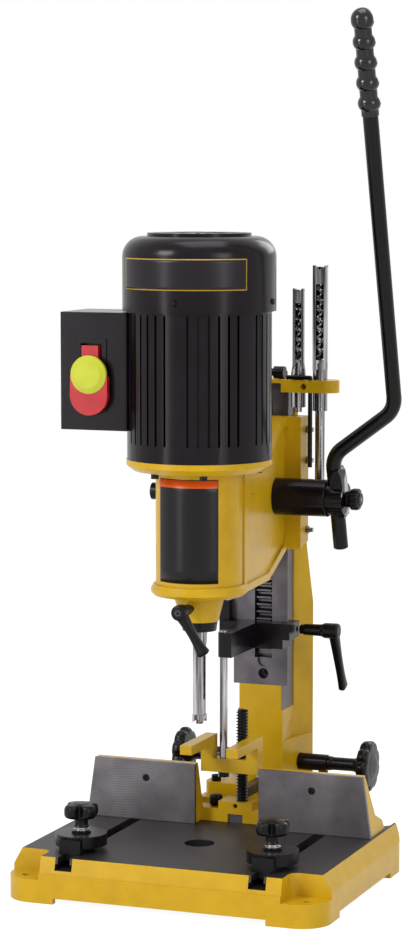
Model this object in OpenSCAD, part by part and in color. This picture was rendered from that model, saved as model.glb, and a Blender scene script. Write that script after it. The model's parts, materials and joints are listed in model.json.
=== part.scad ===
// Benchtop hollow-chisel mortiser.
// X runs to the operator's right, Y away from the operator, Z up from the bench.
// The origin is the middle of the four bench bolts, on the bench.
// Depths (Y) are measured from the chisel's axis, which machine() puts in its place.

/* [Base casting] */
// Width of the base
base_w = 417; // [400:1:440]
// Depth of the rectangular part of the base
base_d = 344; // [330:1:360]
// Distance from the base's front face back to the chisel's axis
base_front = 141; // [135:1:150]
// Height of the table above the bench
table_h = 57.5; // [55:0.5:62]
// Height of the lower wall, where the step runs round
ledge_z = 37; // [34:0.5:40]
// How far the sides lean in from the step to the table
side_lean = 11.5; // [6:0.5:14]
// How far the front and back lean in from the step to the table
front_lean = 5.5; // [3:0.5:8]
// Width of the step along the front and back
ledge_w = 2.5; // [1:0.5:4]
// Radius of the base's corners
corner_r = 38; // [32:1:42]
// Height of the corner feet under the lower wall
foot_h = 7.5; // [4:0.5:10]
// Length of each corner foot along an edge
foot_len = 70; // [60:1:80]
// Height of the bolt pockets' floor
pocket_z = 29; // [26:0.5:32]
// Distance of the bench bolts in from the base's sides
bolt_in_x = 25; // [23:0.5:28]
// Distance of the bench bolts in from the base's front and back
bolt_in_y = 21; // [19:0.5:24]
// Diameter of the bench bolt holes
bench_hole_d = 9; // [7:0.5:11]
// Thickness of the base's outer walls
wall = 9; // [7:0.5:12]
// Thickness of the ribs under the table
rib = 8; // [6:0.5:10]
// Thickness of the table over the ribs' cells
table_t = 20; // [18:0.5:22]
// Diameter of the waste hole under the chisel
waste_d = 38; // [34:1:42]

/* [T-slots] */
// Distance of each T-slot from the centre line
slot_x = 126; // [118:1:132]
// Width of the slot's neck
slot_neck = 16; // [14:0.5:18]
// Depth of the slot's neck
slot_neck_h = 8; // [7:0.5:8.5]
// Width of the slot's wide part
slot_wide = 22.5; // [21:0.5:25]
// Height of the slot's wide part
slot_wide_h = 7.5; // [6:0.5:8]

/* [Column] */
// Distance from the chisel's axis to the face of the dovetail way
way_y = 222; // [218:1:226]
// Width of the way's face
way_w = 75; // [72:1:78]
// Width of the way's neck, behind the dovetail
neck_w = 59; // [56:1:62]
// Depth of the straight land along the way's edges
way_land = 4; // [3:0.5:5]
// Depth of the way
way_t = 18; // [17:0.5:20]
// Height of the way's lower end
way_z0 = 221; // [216:1:226]
// Height of the column's top
column_top = 620; // [610:1:630]
// Width across the column's back
column_w = 94; // [90:1:98]
// Depth of the straight sides of the column's neck, from the way's face
neck_d = 45; // [42:1:50]
// Height at which the ground sides of the neck begin
ground_z = 188; // [180:1:196]
// Depth of the column's foot block, from the way's face
column_d = 76; // [72:1:80]
// Height of the foot block's top
block_z = 147; // [142:1:152]
// Height at which the flared back starts to slope in
rib_z0 = 323; // [300:1:330]
// Height at which the flared back has run out
rib_z1 = 510; // [490:1:530]
// Height of the machined pad that the column stands on
pad_z = 70; // [68:0.5:74]
// Width of the column's foot flange
flange_w = 150; // [140:1:160]
// Depth of the column's foot flange
flange_d = 106; // [100:1:112]
// Thickness of the column's foot flange
flange_t = 18; // [15:0.5:20]

/* [Head] */
// Radius of the head's barrel
barrel_r = 54; // [52:0.5:56]
// Height of the barrel's top
barrel_top = 524; // [520:1:526]
// Height of the barrel's lower end, above the lip
barrel_bot = 384; // [380:1:388]
// Radius of the lip round the barrel's lower end
lip_r = 60; // [57:0.5:62]
// Height of the lip
lip_h = 12; // [9:0.5:14]
// Upper radius of the chisel neck
neck_r1 = 32.5; // [30:0.5:35]
// Lower radius of the chisel neck
neck_r0 = 24; // [22:0.5:26]
// Length of the chisel neck
neck_len = 33; // [28:1:36]
// Radius of the chuck space in the barrel
barrel_bore = 42; // [38:0.5:44]
// Half width of the slide's jaws
jaw_x = 60; // [57:0.5:63]
// Height of the slide's lower end
slide_z0 = 413; // [408:1:418]
// Height of the slide's upper end
slide_z1 = 577; // [570:1:585]
// Thickness of the gib
gib_t = 5; // [4:0.5:6]
// Thickness of the walls of the head's hollow web
web_wall = 7; // [6:0.5:9]
// Height of the raised rim round the web's side panels
web_rim = 3.5; // [2.5:0.5:4]
// Running clearance of the sliding faces
slide_gap = 0.3; // [0.2:0.05:0.4]

/* [Motor] */
// Height of the motor's mounting face
motor_z = 541; // [539:1:543]
// Radius over the motor's fins
fin_r = 89; // [87:0.5:90]
// Depth of the grooves between the fins
fin_d = 7; // [5:0.5:8]
// Width of the grooves between the fins
fin_gap = 3; // [2.4:0.1:4]
// Angle from one groove to the next in each of the six groups
fin_step = 8.2; // [7.8:0.1:8.6]
// Height of the finned shell
shell_h = 200; // [194:1:206]
// Height of the fan cover's lap over the shell
lap_h = 18; // [16:0.5:20]
// Height of the plain band under the fins
band_h = 21; // [16:1:26]
// Radius of the fan cover
cover_r = 94.5; // [93.5:0.5:97]
// Height of the fan cover
cover_h = 95; // [90:1:100]
// Radius of the fan cover's shoulder
shoulder_r = 25; // [20:1:30]
// Radius of the fan cover's raised grille
grille_r = 64; // [60:1:66]
// Number of slots in the grille
grille_slots = 20; // [16:1:22]
// Diameter of the motor's shaft
shaft_d = 20; // [16:0.5:22]

/* [Switch] */
// Width of the switch box
box_w = 90; // [86:1:94]
// Height of the switch box
box_h = 145; // [140:1:150]
// Distance of the switch box's front face in front of the chisel's axis
box_front = 52; // [48:1:56]
// Depth of the switch box
box_d = 86; // [80:1:92]
// Height of the switch box's lower edge
box_z = 576; // [570:1:580]
// Distance of the switch from the box's motor side
switch_in = 47.5; // [44:0.5:50]
// Diameter of the round locking key
key_d = 47; // [42:1:50]

/* [Feed] */
// Gear module of the head's rack and gear
feed_module = 3; // [3:0.5:3]
// Teeth of the head's feed gear
feed_teeth = 40; // [40:1:40]
// Sideways place of the head's rack and gear
rack_x = 4; // [2:0.5:5]
// Face width of the feed gear
gear_w = 18; // [14:1:20]
// Height of the feed gear's axis
gear_z = 478; // [474:1:482]
// Diameter of the black shaft housing
housing_d = 47.5; // [44:0.5:50]
// Distance of the housing's outer end from the centre line
housing_x = 112.5; // [110:0.5:115]
// Diameter of the feed shaft
feed_shaft_d = 20; // [18:0.5:22]
// Diameter of the feed lever
lever_d = 19; // [18:0.5:21]
// Forward tilt of the lever at rest, in degrees
lever_tilt = 16.5; // [12:0.5:20]
// Sideways offset between the lever's two parallel ends
lever_out = 88; // [80:1:92]
// Distance of the lever's lower bend from the gear's axis
lever_bend0 = 58.5; // [54:0.5:62]
// Distance of the lever's upper bend from the gear's axis
lever_knee = 124; // [118:1:130]
// Distance of the lever's end from the gear's axis
lever_up = 618; // [600:1:640]
// Length of the grip
grip_len = 131; // [120:1:140]
// Diameter of the grip
grip_d = 28; // [26:1:32]
// Number of rings on the grip
grip_rings = 5; // [4:1:5]

/* [Chisel] */
// Width of the square chisel
chisel_w = 12.7; // [11:0.1:14]
// Diameter of the chisel's shank
shank_d = 19.05; // [18:0.05:20]
// Height of the chisel's points
tip_z = 212; // [206:1:220]
// Diameter of the auger
auger_d = 9; // [8:0.1:9.4]

/* [Hold-down] */
// Height of the hold-down block's lower face
hold_z = 273.5; // [270:0.5:277]
// Height of the hold-down block
hold_h = 33; // [30:0.5:36]
// Half width of the hold-down block
hold_x = 48; // [46:0.5:50]
// Height of the stop post over the block
stop_post_h = 26; // [20:1:30]
// Diameter of the hold-down rod
rod_d = 10; // [9:0.5:12]
// Sideways place of the rod
rod_x = -11; // [-13:0.5:-9]
// Distance of the rod behind the chisel's axis
rod_y = 114; // [112:0.5:116]
// Height of the fork's lower face
fork_z = 125.5; // [124:0.5:130]
// Width of the fork
fork_w = 78; // [76:1:82]
// Length of the fork's prongs
prong_len = 92; // [86:1:96]
// Width of each prong
prong_w = 16; // [14:1:18]
// Thickness of each prong
prong_t = 12; // [10:0.5:14]

/* [Fence] */
// Distance of the fence's face behind the chisel's axis
fence_y = 95; // [94:0.5:97]
// Height of the fence plates
plate_h = 78; // [72:1:82]
// Thickness of the fence plates
plate_t = 6; // [5:0.5:7]
// Distance of each plate's inner edge from the centre line
plate_x0 = 43.5; // [42:0.5:45]
// Distance of each plate's upper outer corner from the centre line
plate_x1 = 182.5; // [176:0.5:186]
// Extra reach of each plate's lower outer corner
plate_slant = 11; // [8:0.5:13]
// Sideways place of the fence's centre block
block_x = 2.5; // [1:0.5:4]
// Width of the fence's centre block
block_w = 46; // [44:1:48]
// Diameter of the threaded post
post_d = 16; // [14:0.5:17]
// Sideways place of the threaded post
post_x = 7.5; // [6:0.5:8]
// Height of the post's top
post_top = 204; // [198:1:208]
// Height of the fence knobs' shaft
fence_shaft_z = 113; // [111:0.5:114]
// Distance of the fence knobs' shaft behind the way's face
fence_shaft_dy = 45; // [42:1:48]
// Diameter of the fence knobs' shaft
fence_shaft_d = 12; // [10:0.5:13]
// Teeth of the fence shaft's pinion
fence_teeth = 13; // [13:1:13]
// Gear module of the fence's rack and pinion
fence_module = 2; // [2:0.5:2]
// Diameter of the fence knobs
fence_knob_d = 68; // [60:1:72]

/* [Work stops] */
// Distance of the work stops in front of the chisel's axis
stop_y = 80; // [75:1:84]
// Diameter of the stops' discs
disc_d = 64; // [58:1:66]
// Thickness of the stops' discs
disc_t = 14.5; // [12:0.5:16]
// Gap between the table and the stops' discs
disc_gap = 6.5; // [4:0.5:8]
// Diameter of the stops' knobs
stop_knob_d = 46; // [42:1:50]

/* [Tool holder] */
// Distance of the spare tools behind the chisel's axis
tool_y = 228; // [227:0.5:229]
// Sideways place of the large spare chisel
tool_x1 = 79; // [76:0.5:82]
// Sideways place of the small spare chisel
tool_x2 = 49.5; // [49:0.5:52]
// Width of the large spare chisel
spare_w1 = 18.5; // [17:0.5:19.5]
// Width of the small spare chisel
spare_w2 = 14.5; // [13:0.5:15.5]
// Height of the large spare chisel's points over the holder
spare_h1 = 148; // [140:1:156]
// Height of the small spare chisel's points over the holder
spare_h2 = 118; // [110:1:126]

/* [Hidden] */
$fn = 72;
// the chisel's axis lies this far in front of the middle of the base
chisel_y = base_front - base_d / 2;
base_back = base_d - base_front;
bolt_dx = base_w - 2 * bolt_in_x;
bolt_dy = base_d - 2 * bolt_in_y;
// running clearance of a shaft in its bore, and of a piece seated in a recess
run = 0.06;
seat = 0.3;
// screw shank and head of the machine's socket-head screws
screw_d = 8;
head_d = 13;
head_h = 8;
column_back = way_y + column_d;
flange_y0 = way_y - 15;
pad_front = base_back - 4;
way_back = way_y + way_t;
cell_top = table_h - table_t;
gear_r = feed_module * feed_teeth / 2;
rack_pitch_y = way_y + 5.5;
gear_y = rack_pitch_y - gear_r;
rack_w = 20;
rack_z0 = way_z0 + 40;
rack_back = way_back - 3.5;
groove_w = 24;
// the neck's ground sides lie in line with the dovetail, its cast sides stand a little proud
cast_x = neck_w / 2 + 1.5;
// seat of the fence shaft's bushings in the flared sides of the column
bush_x = 39;
wrench_x = tool_x1 - 9;
pinion_r = fence_module * fence_teeth / 2;
fence_shaft_y = way_y + fence_shaft_dy;
fence_rack_z = fence_shaft_z - pinion_r;
fence_block_y = fence_y + 25;
fence_block_d = 33.7;
fence_block_top = table_h + 27;
fence_bar_top = table_h + 17;
fence_gap = 0.3;
knob_reach_r = 47;
knob_reach_l = 38;
key_w = 20;
key_h = 10.5;
post_y = fence_block_y + 13;
fork_front = rod_y - 9;
fork_back = rod_y + 10;
fork_floor = fork_z + 18;
fork_top = fork_z + 47;
shell_top = motor_z + shell_h;
cover_z = shell_top - lap_h;
cover_screw_z = cover_z + 12.5;
cover_top = cover_z + cover_h;
chuck_z = barrel_bot + 20;
collar_z = barrel_bot - lip_h - neck_len;
lock_z = collar_z + 19;
switch_x = -(fin_r - 15) - switch_in;
switch_z = box_z + 69;
lever_x = housing_x + lever_d / 2 + seat;
hub_end = lever_x + 13;
holder_y0 = way_y - 12;
holder_top = column_top + 4.3;
lever_stud_d = 8;
lever_bend = 34;
grip_round = 11;
holder_t = 16;

// puts a shape drawn about the chisel's axis in its place over the base
module machine() {
    translate([0, chisel_y, 0]) children();
}

// rectangle with round corners, about its middle
module round_rect(w, d, r) {
    square([w, d - 2 * r], center = true);
    square([w - 2 * r, d], center = true);
    for (x = [-1, 1], y = [-1, 1])
        translate([x * (w / 2 - r), y * (d / 2 - r)]) circle(r);
}

// outline in Y and Z, pushed through from x0 to x1
module side_profile(points, x0, x1) {
    translate([x0, 0, 0]) rotate([90, 0, 90]) linear_extrude(x1 - x0) polygon(points);
}

// round bar along X
module bar_x(x0, x1, y, z, r) {
    translate([x0, y, z]) rotate([0, 90, 0]) cylinder(h = x1 - x0, r = r);
}

// round bar along Y
module bar_y(y0, y1, x, z, r) {
    translate([x, y1, z]) rotate([90, 0, 0]) cylinder(h = y1 - y0, r = r);
}

// round bar along Z
module bar_z(z0, z1, x, y, r) {
    translate([x, y, z0]) cylinder(h = z1 - z0, r = r);
}

// box between two corners
module block(a, b) {
    translate(a) cube(b - a);
}

// outline of the way in plan, grown by g on its sides and face
module way_outline(g) {
    polygon([[-way_w / 2 - g, way_y - g], [way_w / 2 + g, way_y - g],
        [way_w / 2 + g, way_y + way_land], [neck_w / 2 + g, way_back], [neck_w / 2 + g, way_back + 20],
        [-neck_w / 2 - g, way_back + 20], [-neck_w / 2 - g, way_back], [-way_w / 2 - g, way_y + way_land]]);
}

// socket-head screw pointing down, head on z = 0, shank below
module cap_screw(len, d = screw_d) {
    difference() {
        union() {
            cylinder(h = d, d = d * 1.6);
            translate([0, 0, -len]) cylinder(h = len, d = d);
        }
        translate([0, 0, d * 0.45]) cylinder(h = d, d = d * 0.9, $fn = 6);
    }
}

// trapezoid rack teeth along Z, pointing to -Y, pitch line on y = 0
module rack_teeth(m, z0, z1, mesh_z, w) {
    p = m * PI;
    first = ceil((z0 + p / 2 - mesh_z) / p);
    last = floor((z1 - p / 2 - mesh_z) / p);
    t = p / 4 - 0.15;
    for (i = [first:last])
        translate([-w / 2, 0, mesh_z + i * p])
            rotate([90, 0, 90]) linear_extrude(w)
                polygon([[-m, -t + m * 0.36], [-m, t - m * 0.36],
                    [m * 1.3, t + m * 0.45], [m * 1.3, -t - m * 0.45]]);
}

// outline of a spur gear with straight-flanked teeth, a gap on the +X axis
module gear_outline(m, n) {
    r = m * n / 2;
    half = 90 / n - 0.15 / r * 180 / PI;
    tip = half - atan(m * 0.36 / r) - 0.1;
    root = half + atan(m * 0.3 / r);
    polygon([for (i = [0:n - 1], k = [0:3])
        let (a = (i + 0.5) * 360 / n + [-root, -tip, tip, root][k],
             q = (k == 0 || k == 3) ? r - 1.25 * m : r + m)
        [q * cos(a), q * sin(a)]]);
}

// knob with round hollows between its lobes, lying on z = 0; the hollows' place and radius are shares of d
module lobed_knob(d, h, lobes, place = 0.58, size = 0.16) {
    linear_extrude(h) difference() {
        circle(d = d);
        for (i = [0:lobes - 1])
            rotate((i + 0.5) * 360 / lobes) translate([d * place, 0]) circle(d * size);
    }
}

// adjustable clamping lever: hub along +Z from z = 0, arm to +X at the hub's outer end
module clamp_lever(hub_len, hub_d, arm_len, drop) {
    cylinder(h = hub_len, d1 = hub_d * 0.8, d2 = hub_d);
    hull() {
        translate([0, 0, hub_len - hub_d * 0.7]) cylinder(h = hub_d * 0.9, d = hub_d * 1.15, $fn = 32);
        translate([arm_len * 0.85, 0, hub_len - hub_d * 0.5 + drop * 0.85])
            cylinder(h = hub_d * 0.5, d = hub_d * 0.72, $fn = 32);
    }
    hull() {
        translate([arm_len * 0.82, 0, hub_len - hub_d * 0.5 + drop * 0.85])
            cylinder(h = hub_d * 0.5, d = hub_d * 0.78, $fn = 32);
        translate([arm_len - hub_d * 0.3, 0, hub_len - hub_d * 0.5 + drop])
            cylinder(h = hub_d * 0.5, d = hub_d * 1.0, $fn = 32);
    }
}

// ---- base casting ----
module base() color("goldenrod") machine() {
    y_mid = (base_back - base_front) / 2;
    top_x = base_w / 2 - side_lean;
    step_x = base_w / 2;
    f_top = -base_front + ledge_w + front_lean;
    b_top = base_back - ledge_w - front_lean;
    difference() {
        union() {
            // the walls: plan outline, end outline and side outline in common
            intersection() {
                translate([0, y_mid, 0]) linear_extrude(table_h) round_rect(base_w, base_d, corner_r);
                translate([0, base_back + 1, 0]) rotate([90, 0, 0]) linear_extrude(base_d + 2)
                    polygon([[-step_x, 0], [step_x, 0], [step_x, ledge_z], [top_x, table_h],
                        [-top_x, table_h], [-step_x, ledge_z]]);
                side_profile([[-base_front, 0], [base_back, 0], [base_back, ledge_z],
                    [base_back - ledge_w, ledge_z], [b_top, table_h], [f_top, table_h],
                    [-base_front + ledge_w, ledge_z], [-base_front, ledge_z]], -step_x, step_x);
            }
            // pad that carries the column
            translate([0, (pad_front + flange_y0 + flange_d + 4) / 2, 0])
                linear_extrude(pad_z) round_rect(flange_w + 8, flange_y0 + flange_d + 4 - pad_front, 4);
        }
        // gap under the walls between the feet
        for (s = [-1, 1])
            translate([0, y_mid, 0]) {
                block([-base_w / 2 + foot_len, s > 0 ? -base_d / 2 - 1 : base_d / 2 - wall - 1, -1],
                    [base_w / 2 - foot_len, s > 0 ? -base_d / 2 + wall + 1 : base_d / 2 + 1, foot_h]);
                block([s > 0 ? base_w / 2 - wall - 1 : -base_w / 2 - 1, -base_d / 2 + foot_len, -1],
                    [s > 0 ? base_w / 2 + 1 : -base_w / 2 + wall + 1, base_d / 2 - foot_len, foot_h]);
            }
        base_cells();
        // the ribs end over the bench
        block([-base_w / 2 + foot_len, -base_front + wall, -1],
            [base_w / 2 - foot_len, base_back - wall, foot_h]);
        block([-base_w / 2 + wall, -base_front + foot_len, -1],
            [base_w / 2 - wall, base_back - foot_len, foot_h]);
        // bolt pockets at the corners
        for (s = [-1, 1]) {
            front_pocket(s);
            rear_pocket(s);
            for (y = [-bolt_dy / 2, bolt_dy / 2])
                bar_z(-1, pocket_z + 1, s * bolt_dx / 2, y_mid + y, bench_hole_d / 2);
            // T-slots
            block([s * slot_x - slot_neck / 2, -base_front - 1, table_h - slot_neck_h],
                [s * slot_x + slot_neck / 2, base_back + 1, table_h + 1]);
            block([s * slot_x - slot_wide / 2, -base_front - 1, table_h - slot_neck_h - slot_wide_h],
                [s * slot_x + slot_wide / 2, base_back + 1, table_h - slot_neck_h + 0.01]);
        }
        bar_z(-1, table_h + 1, 0, 0, waste_d / 2);
        // tapped holes for the column's and the guide key's screws
        for (p = flange_screw_xy())
            bar_z(pad_z - 25, pad_z + 1, p[0], p[1], screw_d / 2 + run);
        for (y = [0.25, 0.75])
            bar_z(table_h - 12, table_h + 1, block_x, key_y0() + y * key_len(), 2.5 + run);
    }
}

// pocket over a front bench bolt, open to the corner
module front_pocket(s) {
    x_in = bolt_dx / 2 - 26.5;
    y_in = -base_front + 41;
    translate([0, 0, pocket_z]) linear_extrude(table_h) {
        translate([s > 0 ? x_in : -base_w, -base_front - 60])
            square([base_w - x_in, y_in + base_front + 60 - 12]);
        translate([s > 0 ? x_in + 12 : -base_w, y_in - 13]) square([base_w - x_in - 12, 13]);
        translate([s * (x_in + 12), y_in - 12]) circle(12);
    }
}

// pocket over a rear bench bolt, open to the back
module rear_pocket(s) {
    x_c = s * bolt_dx / 2;
    y_c = (base_back - base_front) / 2 + bolt_dy / 2;
    translate([0, 0, pocket_z]) linear_extrude(table_h) {
        translate([x_c, y_c]) circle(bench_hole_d + 1);
        translate([x_c - bench_hole_d - 1, y_c]) square([2 * bench_hole_d + 2, 60]);
    }
}

// ribbed hollows under the table, with solid corners and a solid ring round the waste hole
module base_cells() {
    nx = 4;
    ny = 4;
    x0 = -base_w / 2 + wall;
    y0 = -base_front + wall;
    cw = (base_w - 2 * wall - (nx - 1) * rib) / nx;
    cd = (base_d - 2 * wall - (ny - 1) * rib) / ny;
    corner = corner_r + 22;
    difference() {
        for (i = [0:nx - 1], j = [0:ny - 1])
            block([x0 + i * (cw + rib), y0 + j * (cd + rib), -1],
                [x0 + i * (cw + rib) + cw, y0 + j * (cd + rib) + cd, cell_top]);
        for (s = [-1, 1]) {
            block([s > 0 ? base_w / 2 - corner : -base_w / 2 - 1, -base_front - 1, -2],
                [s > 0 ? base_w / 2 + 1 : -base_w / 2 + corner, -base_front + corner, cell_top + 1]);
            block([s > 0 ? base_w / 2 - corner : -base_w / 2 - 1, base_back - corner, -2],
                [s > 0 ? base_w / 2 + 1 : -base_w / 2 + corner, base_back + 1, cell_top + 1]);
        }
        bar_z(-2, cell_top + 1, 0, 0, waste_d / 2 + wall);
        block([-flange_w / 2 - 4, pad_front - 4, -2], [flange_w / 2 + 4, base_back + 1, cell_top + 1]);
    }
}

// ---- column ----
module column() color("goldenrod") machine() difference() {
    union() {
        // foot flange and foot block
        translate([0, flange_y0 + flange_d / 2, pad_z])
            linear_extrude(flange_t) round_rect(flange_w, flange_d, 14);
        translate([0, 0, pad_z]) linear_extrude(block_z - pad_z)
            polygon([[-cast_x, way_y], [cast_x, way_y],
                [column_w / 2, column_back], [-column_w / 2, column_back]]);
        // neck with its flared back, which slopes in towards the top
        intersection() {
            translate([0, 0, pad_z]) linear_extrude(column_top - pad_z)
                polygon([[-cast_x, way_y], [cast_x, way_y], [cast_x, way_y + neck_d],
                    [column_w / 2, column_back], [-column_w / 2, column_back], [-cast_x, way_y + neck_d]]);
            side_profile([[way_y, pad_z], [column_back, pad_z], [column_back, rib_z0],
                [way_y + neck_d + 5, rib_z1], [way_y + neck_d + 5, column_top],
                [way_back, column_top], [way_back, way_z0], [way_y, way_z0]], -column_w / 2, column_w / 2);
        }
    }
    // ground sides of the neck
    for (s = [-1, 1])
        block([s > 0 ? neck_w / 2 : -cast_x - 1, way_y - 1, ground_z],
            [s > 0 ? cast_x + 1 : -neck_w / 2, way_y + neck_d, column_top + 1]);
    // hollow back of the casting
    block([-neck_w / 2 + 10, way_back + 12, block_z + 14],
        [neck_w / 2 - 10, column_back + 1, column_top - 30]);
    // shaft bore, pinion space and tunnel for the fence's rack
    bar_x(-column_w / 2 - 1, column_w / 2 + 1, fence_shaft_y, fence_shaft_z, fence_shaft_d / 2 + run);
    bar_x(block_x - 8, block_x + 8, fence_shaft_y, fence_shaft_z, pinion_r + fence_module + 2);
    for (s = [-1, 1]) {
        bar_x(s > 0 ? bush_x - 12 : -column_w / 2, s > 0 ? column_w / 2 : 12 - bush_x,
            fence_shaft_y, fence_shaft_z, 9 + run);
        bar_x(s > 0 ? bush_x : -column_w / 2 - 1, s > 0 ? column_w / 2 + 1 : -bush_x,
            fence_shaft_y, fence_shaft_z, 11 + seat);
    }
    block([block_x - 7, flange_y0 - 1, fence_block_top - 0.5],
        [block_x + 7, flange_y0 + flange_d + 1, fence_rack_z + fence_module + 0.8]);
    // the pinion goes in from the back
    block([block_x - 8, fence_shaft_y, fence_shaft_z - pinion_r - fence_module - 2],
        [block_x + 8, column_back + 1, fence_shaft_z + pinion_r + fence_module + 2]);
    for (p = flange_screw_xy())
        bar_z(pad_z - 1, pad_z + flange_t + 1, p[0], p[1], screw_d / 2 + run);
    // clearance holes for the way's screws, from the back
    for (z = way_screw_z())
        bar_y(way_back - 1, way_back + 13, rack_x, z, screw_d / 2 + run);
    for (x = [-1, 1])
        bar_z(column_top - 16, column_top + 1, x * 18, way_back + 16, screw_d / 2 + run);
}
function flange_screw_xy() = [for (x = [-1, 1], y = [12, flange_d - 12])
    [x * (flange_w / 2 - 14), flange_y0 + y]];
function way_screw_z() = [way_z0 + 15, way_z0 + 130, column_top - 150, column_top - 60];

// ---- dovetail way ----
module dovetail_way() color("dimgray") machine() difference() {
    translate([0, 0, way_z0]) linear_extrude(column_top - way_z0) intersection() {
        way_outline(0);
        translate([-way_w, way_y]) square([2 * way_w, way_t]);
    }
    block([rack_x - groove_w / 2, way_y - 1, rack_z0 - 4],
        [rack_x + groove_w / 2, rack_back, column_top + 1]);
    // round run-out of the cutter under the groove
    bar_y(way_y - 1, way_y + 4, rack_x + 1, rack_z0 - 7, 9);
    for (z = way_screw_z())
        bar_y(way_y - 1, way_back + 1, rack_x, z, screw_d / 2 + run);
    bar_y(way_y - 1, rack_back, rack_x, way_screw_z()[0], 7);
}

// ---- rack on the way ----
module feed_rack() color("gray") machine() {
    translate([rack_x, rack_pitch_y, 0])
        rack_teeth(feed_module, rack_z0, column_top - 20, gear_z, rack_w);
    block([rack_x - rack_w / 2, rack_pitch_y + 1.25 * feed_module, rack_z0],
        [rack_x + rack_w / 2, rack_back, column_top - 20]);
}

// ---- screws of the column, way, tool holder and guide key ----
module frame_screws() color("dimgray") machine() {
    for (p = flange_screw_xy())
        translate([p[0], p[1], pad_z + flange_t]) cap_screw(flange_t + 20);
    for (z = way_screw_z())
        translate([rack_x, way_back + 12, z]) rotate([-90, 0, 0]) cap_screw(12 + way_back - rack_back - 0.3);
    for (x = [-1, 1])
        translate([x * 18, way_back + 16, holder_top]) cap_screw(18);
    for (y = [0.25, 0.75])
        translate([block_x, key_y0() + y * key_len(), table_h + key_h - 5.2]) cap_screw(14, 5);
}

// ---- key that guides the fence on the table ----
function key_y0() = fence_block_y + 3;
function key_len() = base_back - ledge_w - front_lean - key_y0() - 1;
module guide_key() color("dimgray") machine() difference() {
    block([block_x - key_w / 2, key_y0(), table_h],
        [block_x + key_w / 2, key_y0() + key_len(), table_h + key_h]);
    for (y = [0.25, 0.75])
        translate([block_x, key_y0() + y * key_len(), 0]) {
            cylinder(h = 200, r = 2.5 + run);
            translate([0, 0, table_h + key_h - 5.2]) cylinder(h = 20, r = 4.4);
        }
}

// ---- bushings of the fence shaft ----
module shaft_bushings() color("black") machine() for (s = [-1, 1])
    translate([0, fence_shaft_y, fence_shaft_z]) rotate([0, s * 90, 0]) difference() {
        union() {
            translate([0, 0, bush_x - 11.7]) cylinder(h = 12, r = 9);
            translate([0, 0, bush_x + 0.1]) cylinder(h = column_w / 2 + 32 - bush_x, r = 11);
        }
        cylinder(h = 200, r = fence_shaft_d / 2 + run);
    }

// ---- tool holder on the column's top ----
module tool_holder() color("goldenrod") machine() difference() {
    union() {
        block([-neck_w / 2 - 4, holder_y0, column_top], [way_w / 2 + 6, way_back + 26, holder_top]);
        block([way_w / 2 - 6, holder_y0, holder_top - holder_t],
            [way_w / 2 + 6, way_y - 0.3, column_top + 0.1]);
        translate([0, 0, holder_top - holder_t]) linear_extrude(holder_t) {
            translate([way_w / 2 + 0.4, holder_y0]) square([tool_x1 + 9 - way_w / 2, 34]);
            translate([tool_x1 + 9, holder_y0 + 17]) circle(17);
        }
    }
    bar_z(0, 999, tool_x1, tool_y, shank_d / 2 + run);
    bar_z(0, 999, tool_x2, tool_y, shank_d / 2 + run);
    bar_z(0, 999, wrench_x, holder_y0 + 5, 3.2);
    for (x = [-1, 1])
        bar_z(0, 999, x * 18, way_back + 16, screw_d / 2 + run);
    // tapped hole between the spare tools
    bar_y(holder_y0 - 1, holder_y0 + 12, (tool_x1 + tool_x2) / 2 - 2, column_top - 4, 4);
}

// one hollow chisel standing points up: shank below z = 0, square body above
module upright_chisel(w, h, shank_len) {
    bore = w * 0.72;
    difference() {
        union() {
            translate([0, 0, -shank_len]) cylinder(h = shank_len + 8, d = shank_d);
            translate([0, 0, 8]) cylinder(h = 14, d1 = shank_d, d2 = w * 1.05);
            translate([-w / 2, -w / 2, 14]) cube([w, w, h - 14]);
        }
        translate([0, 0, -shank_len - 1]) cylinder(h = h + shank_len + 2, d = bore);
        // chip window on the side that faces out
        translate([-w * 0.27, -w, 26]) cube([w * 0.54, w, h - 26 - w * 1.3]);
        // four cutting points
        for (a = [0, 90]) rotate(a)
            translate([-w, 0, h]) rotate([90, 0, 90]) linear_extrude(2 * w)
                polygon([[-w / 2 + 1, 1], [0, -w * 0.3], [w / 2 - 1, 1]]);
    }
}

module spare_chisels() color("silver") machine() {
    translate([tool_x1, tool_y, holder_top]) rotate(14) upright_chisel(spare_w1, spare_h1, 40);
    translate([tool_x2, tool_y, holder_top]) rotate(14) upright_chisel(spare_w2, spare_h2, 36);
}

// auger with a twisted body over a plain shank, from z = 0 up
module auger(d, shank, flute, shank_share = 0.72) {
    cylinder(h = shank, d = d * shank_share);
    translate([0, 0, shank])
        linear_extrude(flute, twist = -flute * 14, slices = ceil(flute / 2.2), segments = 8)
            polygon([[d * 0.46, d * 0.14], [d * 0.12, d * 0.22], [-d * 0.46, d * 0.14],
                [-d * 0.46, -d * 0.14], [-d * 0.12, -d * 0.22], [d * 0.46, -d * 0.14]]);
}

module spare_augers() color("gray") machine() {
    translate([tool_x1, tool_y, column_top - 142]) auger(spare_w1 * 0.7, 146, spare_h1 - 1.5, 0.96);
    translate([tool_x2, tool_y, column_top - 38]) auger(spare_w2 * 0.7, 42, spare_h2 - 1.5, 0.96);
}

// ---- chuck key lying on the holder ----
module chuck_key() color("black") machine() {
    bar_x(-14, 18, way_y + 8, holder_top + 8.3, 5);
    bar_x(16, 30, way_y + 8, holder_top + 8.3, 8);
    bar_z(holder_top + 0.3, holder_top + 26, -9, way_y + 8, 3.5);
}

// ---- hex wrench hanging in its hole ----
module hex_wrench() color("black") machine() translate([wrench_x, holder_y0 + 5, holder_top + 3.3]) {
    bar_z(-116, 0, 0, 0, 2.9);
    sphere(2.9);
    rotate([0, -90, 0]) cylinder(h = 32, r = 2.9);
}

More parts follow.
